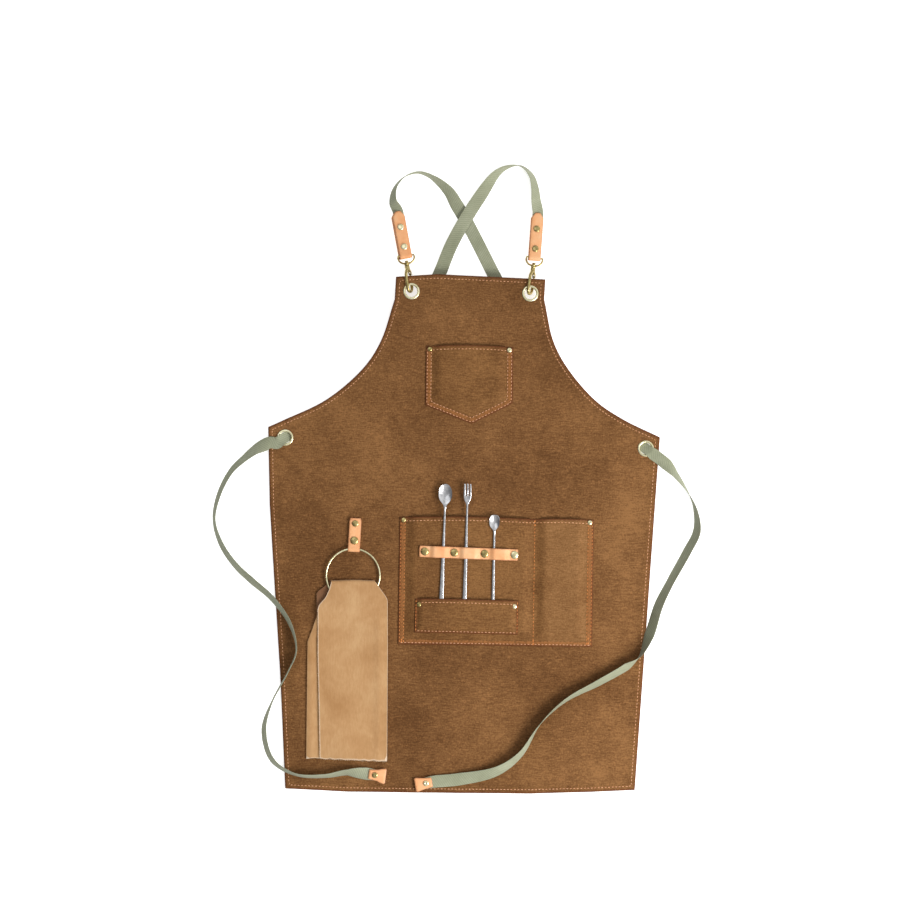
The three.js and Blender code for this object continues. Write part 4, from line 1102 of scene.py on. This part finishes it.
tool_top = add_pocket("tool_pocket_canvas", TOOL, on_waist_front, "tool_pocket", spacing=3.4)

# ---------------------------------------------------------------- stitches

PITCH = 5.4
STITCH_LENGTH = 3.5
STITCH_WIDTH = 0.95
STITCH_HEIGHT = 0.55
STITCH_RINGS = 5
STITCH_SIDES = 6
RUST = 0
ORANGE = 1


def stitch_shape():
    """One stitch along X with its ends sunk a little, as points and faces."""
    points = []
    for t in np.linspace(-1, 1, STITCH_RINGS):
        r = math.sqrt(max(0.02, 1 - abs(t) ** 3))
        for y, z in circle((0, 0), r, STITCH_SIDES):
            points.append((t * STITCH_LENGTH / 2, y * STITCH_WIDTH / 2, z * STITCH_HEIGHT / 2 - 0.18 * t * t))
    n, last = STITCH_SIDES, (STITCH_RINGS - 1) * STITCH_SIDES
    faces = [(i + k, i + (k + 1) % n, i + n + (k + 1) % n, i + n + k)
             for i in range(0, last, n) for k in range(n)]
    return np.array(points), faces + [tuple(range(n))[::-1], tuple(range(last, last + n))]


def stitch_rows(name, rows):
    """One mesh of thread stitches. Each row is (plan polyline, height function, RUST or ORANGE)."""
    shape, quads = stitch_shape()
    half = STITCH_LENGTH / 2
    vertices, faces, slots = [], [], []
    wobble = 0
    for line, surface, colour in rows:
        points = even(line, PITCH)
        for a, b in zip(points, points[1:]):
            wobble += 1
            middle = (a + b) / 2
            heading = math.atan2(b[1] - a[1], b[0] - a[0]) + 0.06 * math.sin(wobble * 2.3)
            c, s = math.cos(heading), math.sin(heading)
            ends = [middle + k * half * np.array((c, s)) for k in (-1, 0, 1)]
            za, zm, zb = surface(*np.array(ends).T)
            x = middle[0] + shape[:, 0] * c - shape[:, 1] * s
            y = middle[1] + shape[:, 0] * s + shape[:, 1] * c
            t = shape[:, 0] / half
            z = zm + (zb - za) / 2 * t + ((za + zb) / 2 - zm) * t * t + shape[:, 2] + STITCH_HEIGHT * 0.3
            start = len(vertices)
            vertices += np.c_[x, y, z].tolist()
            faces += [[start + i for i in q] for q in quads]
            slots += [colour] * len(quads)
    obj = make_object(name, vertices, faces, THREAD, sharp=80)
    obj.data.materials.append(THREAD_SIDE)
    obj.data.polygons.foreach_set("material_index", slots)
    finish_piece(obj, "apron", "canvas")


def panel_surface(x, y):
    """The panel's front with its hem, as a function of x and y only."""
    return panel_top(x, y, edge_distance(x, y, PANEL_OUTLINE))


def mouth_row(spec, end):
    """Row under the mouth that follows its arch, from end to end."""
    arch = [(u, v - MOUTH_STITCH) for u, v in mouth_line(spec)[1:-1]]
    return [(-end, -MOUTH_STITCH)] + arch + [(end, -MOUTH_STITCH)]


def pocket_rows(spec, surface, margins):
    """Mouth, foot and side rows of a rectangular pocket, the side rows at margins from its edge."""
    half, depth = spec["width"] / 2, spec["depth"]
    rows = [(mouth_row(spec, half - 3), RUST), ([(3 - half, 3 - depth), (half - 3, 3 - depth)], RUST)]
    for margin in margins:
        rows += [([(x, -1.5), (x, 2.5 - depth)], ORANGE) for x in (margin - half, half - margin)]
    return [(placed(spec, line), surface, colour) for line, colour in rows]


def divider_rows():
    """The divider's row, and bar tacks at its ends and at the pocket's lower corners."""
    divider = WAIST["divider"]
    rows = [[(divider, -1), (divider, -195)]]
    for x, start, end in ((divider, -0.5, -12), (divider, -186, -196), (-145, -188, -195), (144, -180, -195)):
        rows += [[(x + aside, start), (x + aside, end)] for aside in (-0.5, 0.5)]
    return [(placed(WAIST, row), waist_top, ORANGE) for row in rows]


def chest_rows():
    """Mouth row, and two rows round the pointed foot that end just under the mouth."""
    rows = [(placed(CHEST, mouth_row(CHEST, 64)), chest_top, RUST)]
    for margin in CHEST_STITCHES:
        ring = inset(sewn_sides(CHEST), margin)
        for end in (0, -1):
            ring[end] = tuple(np.array(ring[end]) + (0, margin - 1.5))
        rows.append((ring, chest_top, RUST))
    return rows


hem_line = inset(PANEL_OUTLINE, HEM_STITCH)
stitch_rows("hem_stitches", [(hem_line + hem_line[:1], panel_surface, RUST)])
stitch_rows("chest_stitches", chest_rows())
stitch_rows("waist_stitches", pocket_rows(WAIST, waist_top, SIDE_STITCHES) + divider_rows())
stitch_rows("tool_stitches", pocket_rows(TOOL, tool_top, (1.6,)))

# ---------------------------------------------------------------- leather

def leather_band(name, profile, width, matrix, node, thick=2.0, ends=0.0, shear=0.0):
    """Leather strip of a width across X along a (y, z) profile, its long edges and ends rounded.

    Where the profile is below 0, on a folded tab's lower layer, the strip slips aside by shear.
    """
    pts = np.array(profile, float)
    run = np.r_[0, np.cumsum(np.hypot(*np.diff(pts, axis=0).T))]
    along = np.gradient(pts, axis=0)
    along /= np.linalg.norm(along, axis=1)[:, None]
    normal = np.c_[-along[:, 1], along[:, 0]]
    steps = np.array([-1, -0.97, -0.88, -0.5, 0, 0.5, 0.88, 0.97, 1])
    vertices, rim = [], []
    for i, (y, z) in enumerate(pts):
        from_end = min(run[i], run[-1] - run[i])
        half = width / 2
        if ends:
            near = max(0.0, 1 - from_end / ends)
            half -= ends * (1 - math.sqrt(max(0.0, 1 - near ** 2))) * 0.9
        for side in (1, -1):
            for s in steps:
                t = thick / 2 * (1 - 0.55 * abs(s) ** 14) * (1 - 0.4 * max(0.0, 1 - from_end / 0.8))
                aside = shear * float(smooth(-z / 2))
                vertices.append((half * s + aside, y + normal[i, 0] * side * t, z + normal[i, 1] * side * t))
                rim.append(min(from_end, half * (1 - abs(s))))
    faces = band_faces(len(pts), len(steps))
    obj = make_object(name, vertices, faces, LEATHER, matrix, sharp=70)
    set_attribute(obj, "rim", rim)
    face_outwards(obj)
    finish_piece(obj, "apron", "leather", node)


LEATHER_HALF = 1.0
# The tool strip is flat near each rivet and rises over a run beside it.
STRIP_FLAT = 6.2
STRIP_RUN = 10
STRIP_RISE = 3.8


def strip_profile():
    """Height of the tool strip along its length: down at each rivet, up over each tool."""
    xs = np.arange(-STRIP["width"] / 2, STRIP["width"] / 2 + 0.1, 1.25)
    zs = np.full(xs.shape, POCKET_TOP + GAP + LEATHER_HALF)
    for a, b in zip(STRIP_RIVETS, STRIP_RIVETS[1:]):
        rise = smooth((xs - a - STRIP_FLAT) / STRIP_RUN) * smooth((b - STRIP_FLAT - xs) / STRIP_RUN)
        zs += STRIP_RISE * rise * ((xs > a) & (xs < b))
    return list(zip(xs, zs))


def folded_profile(length, r, lower, upper):
    """Strap folded round a wire at the origin: lower layer, round the wire, upper layer."""
    line = [(length * (1 - k / 8) + 2.4 * r * k / 8, lower) for k in range(9)]
    for k in range(13):
        a = -math.pi / 2 - math.pi * k / 12
        line.append((r * math.cos(a), r * math.sin(a)))
    line += [(2.4 * r * (1 - k / 8) + length * k / 8, upper) for k in range(9)]
    return line


def add_leather():
    """Tool strip, the towel ring's tab and the two tabs of the snap hooks."""
    side_on = turned(STRIP) @ Matrix.Rotation(math.radians(-90), 4, "Z")
    leather_band("tool_strip_leather", strip_profile(), STRIP["depth"], side_on, "tool_strip", ends=1.2)
    ring_top = Matrix.Translation((RING_TAB["x"], RING_AT[1] + RING_R - 0.5, RING_Z))
    tab = ring_top @ Matrix.Rotation(math.radians(RING_TAB["turn"]), 4, "Z")
    lower = PANEL_TOP + GAP + LEATHER_HALF - RING_Z
    leather_band("ring_tab_leather", folded_profile(RING_TAB["length"], 3.5, lower, lower + 2.3),
                 RING_TAB["width"], tab, "ring_tab", ends=1.5)
    for side, hook in HOOKS.items():
        leather_band(f"hook_tab_{side}_leather", folded_profile(TAB_LENGTH, 3.8, -2.05, 2.05), TAB_WIDTH,
                     tab_frame(side), f"hook_tab_{side}", thick=2.2, ends=6.0, shear=hook["shear"])


def add_rivets():
    """Every rivet but those of the leather tips. Some get the pale brass as a painted highlight, where they
    catch the light.
    """
    # painted highlight: each pocket's second rivet and the strip's fourth get the pale brass
    metals = {f"{pocket}_rivet_{k}": metal for pocket in ("chest", "waist", "tool")
              for k, metal in ((1, BRASS), (2, BRASS_PALE_AND_HIGHLIGHT))}
    metals.update({f"strip_rivet_{k}": BRASS_PALE_AND_HIGHLIGHT if k == 4 else BRASS for k in range(1, 5)})
    metals.update({f"ring_tab_rivet_{k}": BRASS for k in (1, 2)})
    for node, metal in metals.items():
        rivet(node, node + "_cap", metal)
    # painted highlight: the left tab's rivets get the pale brass, the right tab's the darker brass
    for side, metal in (("left", BRASS_PALE_AND_HIGHLIGHT), ("right", BRASS)):
        for k, y in enumerate(TAB_RIVETS, 1):
            node = f"tab_rivet_{side}_{k}"
            rivet(node, node + "_cap", metal, tab_frame(side) @ Matrix.Translation((0, y, 0)))


RIM_PROFILE = [
    (RIM_R, 4.25), (RIM_R, 4.45), (RIM_R - 0.4, 4.9), (RIM_R - 1.2, 5.25), (RIM_R - 2.2, 5.32),
    (EYELET_R + 0.6, 5.05), (EYELET_R + 0.1, 4.5), (EYELET_R, 3.6), (EYELET_R, 1.7), (10.4, 1.6),
    (10.6, 1.9), (9.6, 2.1), (9.6, 4.2),
]
WASHER_PROFILE = [(9.9, 2.2), (11.3, 2.2), (11.7, 2.5), (11.3, 2.7), (9.9, 2.7)]


def add_eyelets():
    """Rolled rim in front, barrel through the canvas and a washer behind."""
    for name, (x, y) in EYELETS.items():
        place = Matrix.Translation((x, y, float(bib_lift(y))))
        for node, part, profile in (("eyelet", "rim", RIM_PROFILE), ("washer", "ring", WASHER_PROFILE)):
            solid = Solid()
            solid.turn(profile, 40, place)
            obj = solid.object(f"{node}_{name}_{part}", BRASS_PALE_AND_HIGHLIGHT)
            finish_piece(obj, "apron", "brass", f"{node}_{name}")


# ---------------------------------------------------------------- snap hooks

def arc(cy, cz, r, start, end, steps):
    """Points (0, y, z) on an arc in the hook's own plane, angles in degrees from +y towards +z."""
    return [(0, cy + r * math.cos(math.radians(a)), cz + r * math.sin(math.radians(a)))
            for a in np.linspace(start, end, steps)]


ALONG_HOOK = Matrix.Rotation(math.radians(-90), 4, "X")
GATE_PIVOT = (0, -14.5, -8.5)
BARREL = [(2.4, -1.2), (3.5, -1.2), (4.0, -0.7), (4.0, 1.2), (3.6, 1.6), (3.6, 2.2), (3.9, 2.6), (3.7, 3.6),
          (3.0, 4.1), (2.4, 4.1)]
COLLAR = [(0, -5.8), (2.8, -5.8), (3.8, -5.2), (3.9, -2.2), (3.2, -1.5), (2.1, -1.4), (2.1, 4.9), (3.0, 5.0),
          (3.3, 5.5), (3.0, 6.3), (1.8, 6.7), (0, 6.8)]


def hook_eye(side):
    """Thin D-shaped eye for the strap with the swivel's barrel at its foot."""
    loop = [(-12.4, 14.5, 0), (-6, 14.6, 0), (0, 14.6, 0), (6, 14.6, 0), (12.4, 14.5, 0)]
    for middle, start in ((3, 0), (-3, -math.pi / 2)):
        loop += [(middle + 9.6 * math.cos(a), 12 + 9.6 * math.sin(a), 0)
                 for a in np.linspace(start, start - math.pi / 2, 9)]
    solid = Solid()
    solid.sweep(loop, (1.45, 1.45), 12, closed=True, up=(0, 0, 1))
    solid.turn(BARREL, 24, ALONG_HOOK)
    obj = solid.object(f"hook_eye_{side}_wire", BRASS, hook_frame(side, rolled=False))
    finish_piece(obj, "apron", "brass", f"hook_eye_{side}")


def hook_body(side):
    """Swivel post and collar, spine, round bend, nose and the fork that holds the gate."""
    solid = Solid()
    solid.turn(COLLAR, 24, ALONG_HOOK)
    path = [(0, -4.6, 0.6), (0, -7.5, 2.6), (0, -10.5, 5.2), (0, -14, 7.0), (0, -19, 7.5), (0, -26, 7.5),
            (0, -31, 7.5)]
    path += arc(-34, -0.5, 8.0, 90, 270, 17) + [(0, -32.2, -8.5), (0, -31.0, -8.5)]
    radii = [(2.6, 2.6), (2.4, 2.6), (2.2, 2.5)] + [(1.9, 2.5)] * (len(path) - 5) + [(1.8, 2.4), (1.2, 1.8)]
    solid.sweep(path, radii, 14)
    for x in (-1.75, 1.75):
        arm = [(x, -5.4, -2.2), (x, -8.2, -4.8), (x, -11.2, -7.2), (x, -14.5, -8.5), (x, -15.9, -8.7)]
        solid.sweep(arm, [(1.9, 0.7), (2.0, 0.7), (2.2, 0.7), (2.1, 0.7), (1.2, 0.6)], 10)
    web = [(0, -5.0, -1.2), (0, -8.0, -4.2), (0, -10.8, -6.4)]
    solid.sweep(web, [(2.2, 2.2), (1.9, 2.2), (1.0, 2.0)], 10)
    casting = solid.object(f"hook_{side}_casting", BRASS, hook_frame(side))
    finish_piece(casting, f"hook_{side}", "brass", f"hook_body_{side}")
    pin = Solid()
    pin.turn([(0, -2.6), (0.9, -2.6), (1.1, -2.4), (1.1, 2.4), (0.9, 2.6), (0, 2.6)], 14,
             Matrix.Translation(GATE_PIVOT) @ Matrix.Rotation(math.radians(90), 4, "Y"))
    rod = pin.object(f"gate_pin_{side}_rod", STEEL, hook_frame(side))
    finish_piece(rod, f"hook_{side}", "steel", f"gate_pin_{side}")


def hook_gate(side):
    """Sprung gate with a thumb ridge, closing on the nose."""
    solid = Solid()
    path = [(0, -13.0, -8.4), GATE_PIVOT, (0, -17.5, -8.5), (0, -22, -8.5), (0, -27, -8.5), (0, -30.0, -8.5)]
    solid.sweep(path, [(1.3, 0.9), (2.0, 0.9), (1.6, 1.0), (1.8, 1.9), (1.8, 1.9), (1.5, 1.6)], 12)
    solid.sweep([(0, -18.8, -9.6), (0, -20.0, -11.2), (0, -22.4, -11.3), (0, -24, -9.8)],
                [(1.0, 1.6), (0.9, 1.8), (0.9, 1.8), (1.0, 1.5)], 10)
    obj = solid.object(f"hook_gate_{side}_bar", BRASS, hook_frame(side))
    finish_piece(obj, f"gate_{side}", "brass", f"hook_gate_{side}")


# ---------------------------------------------------------------- ring, towel and bar tools

def towel_ring():
    """Plain wire ring, lying flat."""
    x, y = RING_AT
    path = [(x + RING_R * math.cos(a), y + RING_R * math.sin(a), RING_Z)
            for a in np.linspace(0, 2 * math.pi, 96, endpoint=False)]
    solid = Solid()
    solid.sweep(path, (1.6, 1.6), 14, closed=True, up=(0, 0, 1))
    finish_piece(solid.object("towel_ring_wire", BRASS_PALE_AND_HIGHLIGHT), "ring", "brass", "towel_ring")


def at_heights(points, heights):
    """Edge x positions at the given heights from (x, y) points listed downwards."""
    pts = sorted(points, key=lambda p: p[1])
    return np.interp(heights, [p[1] for p in pts], [p[0] for p in pts])


FRONT_LEFT = [(-206, -125), (-208.5, -136), (-215, -150), (-224, -160), (-227, -166), (-227, -240),
              (-225, -330), (-224, -396)]
FRONT_RIGHT = [(-138, -125), (-134, -131), (-120.5, -150), (-119, -154), (-119, -240), (-119.5, -330),
               (-120, -401)]
BACK_LEFT = [(-208, -125), (-218, -134), (-229, -142), (-229, -180), (-236, -200), (-243, -219), (-244, -300),
             (-245, -401)]
BACK_RIGHT = [(-140, -125), (-135, -133), (-122, -152), (-121.5, -240), (-121.5, -330), (-122, -399)]
FOLD_TOP = -124.0
TOWEL_FOOT = -399.0
FOOT_SLANT = 4.5
CLOTH_OVER_WIRE = RING_Z + 2.7
CLOTH_UNDER_WIRE = PANEL_TOP + 1.2
TOWEL_ROWS = 66
TOWEL_COLUMNS = 27
FOLD_ROWS = 5
FOLD_HALF_TURN = 60


def front_height(x, y, left, right):
    """Height of the front layer: over the ring's wire, then down onto the back layer."""
    drop = smooth((-161 - y) / 34)
    waves = 0.34 * np.sin(x / 17 + y / 60) + 0.3 * np.sin(y / 23 + x / 31)
    ridges = 0.9 * ridge(x, right - 13, 5.5) + 0.3 * ridge(x, left, 7)
    return CLOTH_OVER_WIRE + (waves + ridges - 3.2) * drop


def towel_lines():
    """Rows of points from the foot of the front layer over the fold to the foot of the back layer."""
    front_y = np.linspace(TOWEL_FOOT, FOLD_TOP - 3, TOWEL_ROWS)
    across = np.linspace(0, 1, TOWEL_COLUMNS)
    lines = []
    for y in front_y:
        left, right = at_heights(FRONT_LEFT, y), at_heights(FRONT_RIGHT, y)
        x = left + (right - left) * across
        ragged = 0.5 * np.sin(x * 0.37) + 0.35 * np.sin(x * 1.1 + 1) + FOOT_SLANT * across
        lines.append(np.c_[x, y - ragged * (y < TOWEL_FOOT + 2), front_height(x, y, left, right)])
    middle, half = (CLOTH_OVER_WIRE + CLOTH_UNDER_WIRE) / 2, (CLOTH_OVER_WIRE - CLOTH_UNDER_WIRE) / 2
    steepest = math.sin(math.radians(FOLD_HALF_TURN))
    for degrees in np.linspace(-FOLD_HALF_TURN, FOLD_HALF_TURN, FOLD_ROWS):
        a, t = math.radians(degrees), (degrees / FOLD_HALF_TURN + 1) / 2
        left, right = -206 - 2 * t, -138 - 2 * t
        x = left + (right - left) * across
        y = FOLD_TOP - 3 + (3 + np.sin(np.pi * across) ** 2) * math.cos(a)
        z = middle - half * 0.95 * math.sin(a) / steepest
        lines.append(np.c_[x, y, np.full(x.shape, z)])
    for y in front_y[::-1]:
        left, right = at_heights(BACK_LEFT, y), at_heights(BACK_RIGHT, y)
        x = left + (right - left) * across
        drop = smooth((FOLD_TOP - 10 - y) / 50)
        waves = 0.4 * np.sin(y / 19 + x / 23) + 1.6 * ridge(x, left + 6, 6)
        ragged = 0.5 * np.sin(x * 0.31 + 2) + 0.3 * np.sin(x * 1.2)
        lines.append(np.c_[x, y - ragged * (y < TOWEL_FOOT + 2), CLOTH_UNDER_WIRE + 0.6 + waves * drop])
    return np.array(lines)


def towel_cloth():
    """One cloth through the ring, folded at its top: the front layer over the wire, the back under it."""
    grid = towel_lines()
    n, m = grid.shape[:2]
    vertices = grid.reshape(-1, 3)
    faces = [(i * m + j, i * m + j + 1, (i + 1) * m + j + 1, (i + 1) * m + j)
             for i in range(n - 1) for j in range(m - 1)]
    obj = make_object("towel_cloth", vertices, faces, TOWEL, sharp=80)
    row, column = np.divmod(np.arange(n * m), m)
    from_side = np.minimum(column, m - 1 - column) / (m - 1) * np.ptp(grid[:, :, 0], axis=1)[row]
    from_foot = np.minimum(row, n - 1 - row) * 5.04
    front = np.where(column < m / 2, from_side, from_side * 2)
    raw = np.where(row < TOWEL_ROWS, front, from_side + 1.4)
    set_attribute(obj, "rim", np.minimum(raw, from_foot))
    # painted shade: under marks the back layer near its top, inside the fold, for the material to darken as
    # shadow
    set_attribute(obj, "under", smooth((vertices[:, 1] + 186) / 14) * (row >= TOWEL_ROWS + 3))
    solidify = obj.modifiers.new("thickness", "SOLIDIFY")
    solidify.thickness = 0.0011
    solidify.offset = 0
    apply_modifiers(obj)
    return finish_piece(obj, "ring", "towel", "towel")


def apply_modifiers(obj):
    """Makes the modified shape the mesh itself, with its edges sharp again."""
    bpy.context.view_layer.update()
    mesh = bpy.data.meshes.new_from_object(obj.evaluated_get(bpy.context.evaluated_depsgraph_get()))
    obj.modifiers.clear()
    obj.data = mesh
    mesh.set_sharp_from_angle(angle=math.radians(50))


def fray(name, lines):
    """Loose threads along a raw edge. Each line is (points, outward direction)."""
    solid = Solid()
    k = 0
    for points, (out_x, out_y) in lines:
        outward, aside = Vector((out_x, out_y, 0)), Vector((out_y, -out_x, 0))
        for p in points:
            k += 1
            reach = 0.7 + 0.8 * abs(math.sin(k * 1.7)) ** 3 + 0.6 * abs(math.sin(k * 0.37))
            lean = 0.5 * math.sin(k * 2.9)
            root = Vector(p)
            middle = root + outward * reach * 0.5 + aside * lean * 0.4 + Vector((0, 0, 0.1))
            tip = root + outward * reach + aside * lean - Vector((0, 0, 0.2))
            solid.sweep([root, middle, tip], [(0.28, 0.28), (0.22, 0.22), (0.12, 0.12)], 5, up=(0, 0, 1))
    return finish_piece(solid.object(name, FRAY), "ring", "towel")


def add_towel():
    """The cloth with loose threads along its front side and foot."""
    cloth = towel_cloth()
    side, foot = [], []
    for y in np.arange(-395, -168, 1.3):
        left, right = at_heights(FRONT_LEFT, y), at_heights(FRONT_RIGHT, y)
        side.append((left + 0.6, y, front_height(left, y, left, right) + 0.6))
    for x in np.arange(-223, -121, 1.3):
        y = TOWEL_FOOT - FOOT_SLANT * (x + 224) / 104
        foot.append((x, y, front_height(x, y, -224, -120) + 0.4))
    edge = fray("towel_front_fray", [(side, (-1, 0.1)), (foot, (0.1, -1))])


# Bar tools are placed by the lower end of the handle, where its half width is "end". A bowl is given by
# its half width and half length.
LONG_SPOON = {"at": (-37.2, -190), "turn": -2.2, "length": 216, "end": 3.9,
              "bowl": (10.4, 15.6), "square": 2.0}
SHORT_SPOON = {"at": (43.2, -190), "turn": -1.15, "length": 168, "end": 2.8,
               "bowl": (7.9, 11.2), "square": 3.2}
FORK = {"at": (-1, -190), "turn": -1.6, "length": 216, "end": 3.6}
TOOL_Z = 12.1
FORK_HEAD = 33


def handle_half(y, end, neck):
    """Half width of a bar tool's handle: widest at its end, slim at the neck."""
    return np.interp(y, [0, neck * 0.25, neck * 0.8, neck], [end, end * 0.8, 1.7, 1.5])


def bar_tool(node, spec, neck, head, tip, blade, start, rings):
    """Steel tool: a round handle up to its neck that turns into a blade over 8 mm from start.

    head is the blade's right side from the neck on, tip its middle point, and blade(u, v, e) gives the
    heights of its front and back above TOOL_Z.
    """
    end = spec["end"]
    right = [(float(handle_half(v, end, neck)), v) for v in np.linspace(0, neck, 40)] + head
    outline = tip + right[::-1] + [(-u, v) for u, v in right]

    def heights(x, y, e):
        u, v = local_points(spec, x, y)
        half = handle_half(np.clip(v, 0, neck), end, neck)
        skin = np.sqrt(np.clip(1 - (u / (half * 1.08)) ** 2, 0, 1))
        share = smooth((v - start) / 8)
        front, back = blade(u, v, e)
        return (TOOL_Z + front * share + (0.15 + 0.95 * skin) * (1 - share),
                TOOL_Z + back * share + (-0.1 - 0.8 * skin) * (1 - share))

    def top(x, y, e):
        return heights(x, y, e)[0]

    def bottom(x, y, e):
        return heights(x, y, e)[1]

    obj = slab(f"{node}_steel", placed(spec, outline), top, bottom, 1.1, STEEL, rings=rings, sharp=50)
    finish_piece(obj, node, "steel", node)


def bar_spoon(node, spec):
    """Bar spoon whose bowl tapers into the neck; a squarer bowl has a flatter far end."""
    rx, ry = spec["bowl"]
    centre = spec["length"] - ry
    neck = centre - 1.4 * ry
    power = 2 / spec["square"]
    head = [(0.22 * rx, centre - 1.14 * ry), (0.43 * rx, centre - 0.93 * ry)]
    head += [(rx * math.sin(a), centre - ry * math.cos(a)) for a in np.linspace(0.75, math.pi / 2, 8)]
    head += [(rx * math.sin(a) ** power, centre + ry * (-math.cos(a)) ** power)
             for a in np.linspace(math.pi / 2, math.pi, 13)[1:-1]]

    def bowl(u, v, e):
        depth = 1 - np.clip((u / rx) ** 2 + ((v - centre) / ry) ** 2, 0, 1)
        return 2.45 - 2.9 * depth, 1.9 - 2.95 * depth

    bar_tool(node, spec, neck, head, [(0.0, spec["length"])], bowl, neck - 4,
             (0.3, 0.75, 1.25, 1.85, 2.6, 3.4))


def bar_fork(node, spec):
    """Three-pronged bar fork with a bent head."""
    length = spec["length"]
    neck = length - FORK_HEAD
    head = [(2.6, neck + 4), (4.6, neck + 8), (5.6, neck + 12), (5.8, neck + 18), (5.6, length - 1.2),
            (5.0, length), (3.6, length), (2.85, length - 1), (2.8, neck + 15), (2.2, neck + 13.6),
            (1.5, neck + 13.6), (1.1, neck + 15), (1.1, length - 0.6), (0.5, length + 0.2)]

    def prongs(u, v, e):
        bend = 0.75 * smooth((v - neck - 10) / 20) - 0.5 * ridge(v, neck + 12, 7)
        hollow, rounding = np.abs(u) ** 0.8, 1 - smooth(e / 0.5)
        return 0.65 + bend + 0.18 * hollow - 0.3 * rounding, -0.75 + bend + 0.15 * hollow + 0.25 * rounding

    bar_tool(node, spec, neck, head, [], prongs, neck, (0.3, 0.75, 1.25, 1.85, 2.6))


add_leather()
add_rivets()
add_eyelets()
for hook_side in HOOKS:
    hook_eye(hook_side)
    hook_body(hook_side)
    hook_gate(hook_side)
towel_ring()
add_towel()
bar_spoon("long_spoon", LONG_SPOON)
bar_spoon("short_spoon", SHORT_SPOON)
bar_fork("fork", FORK)
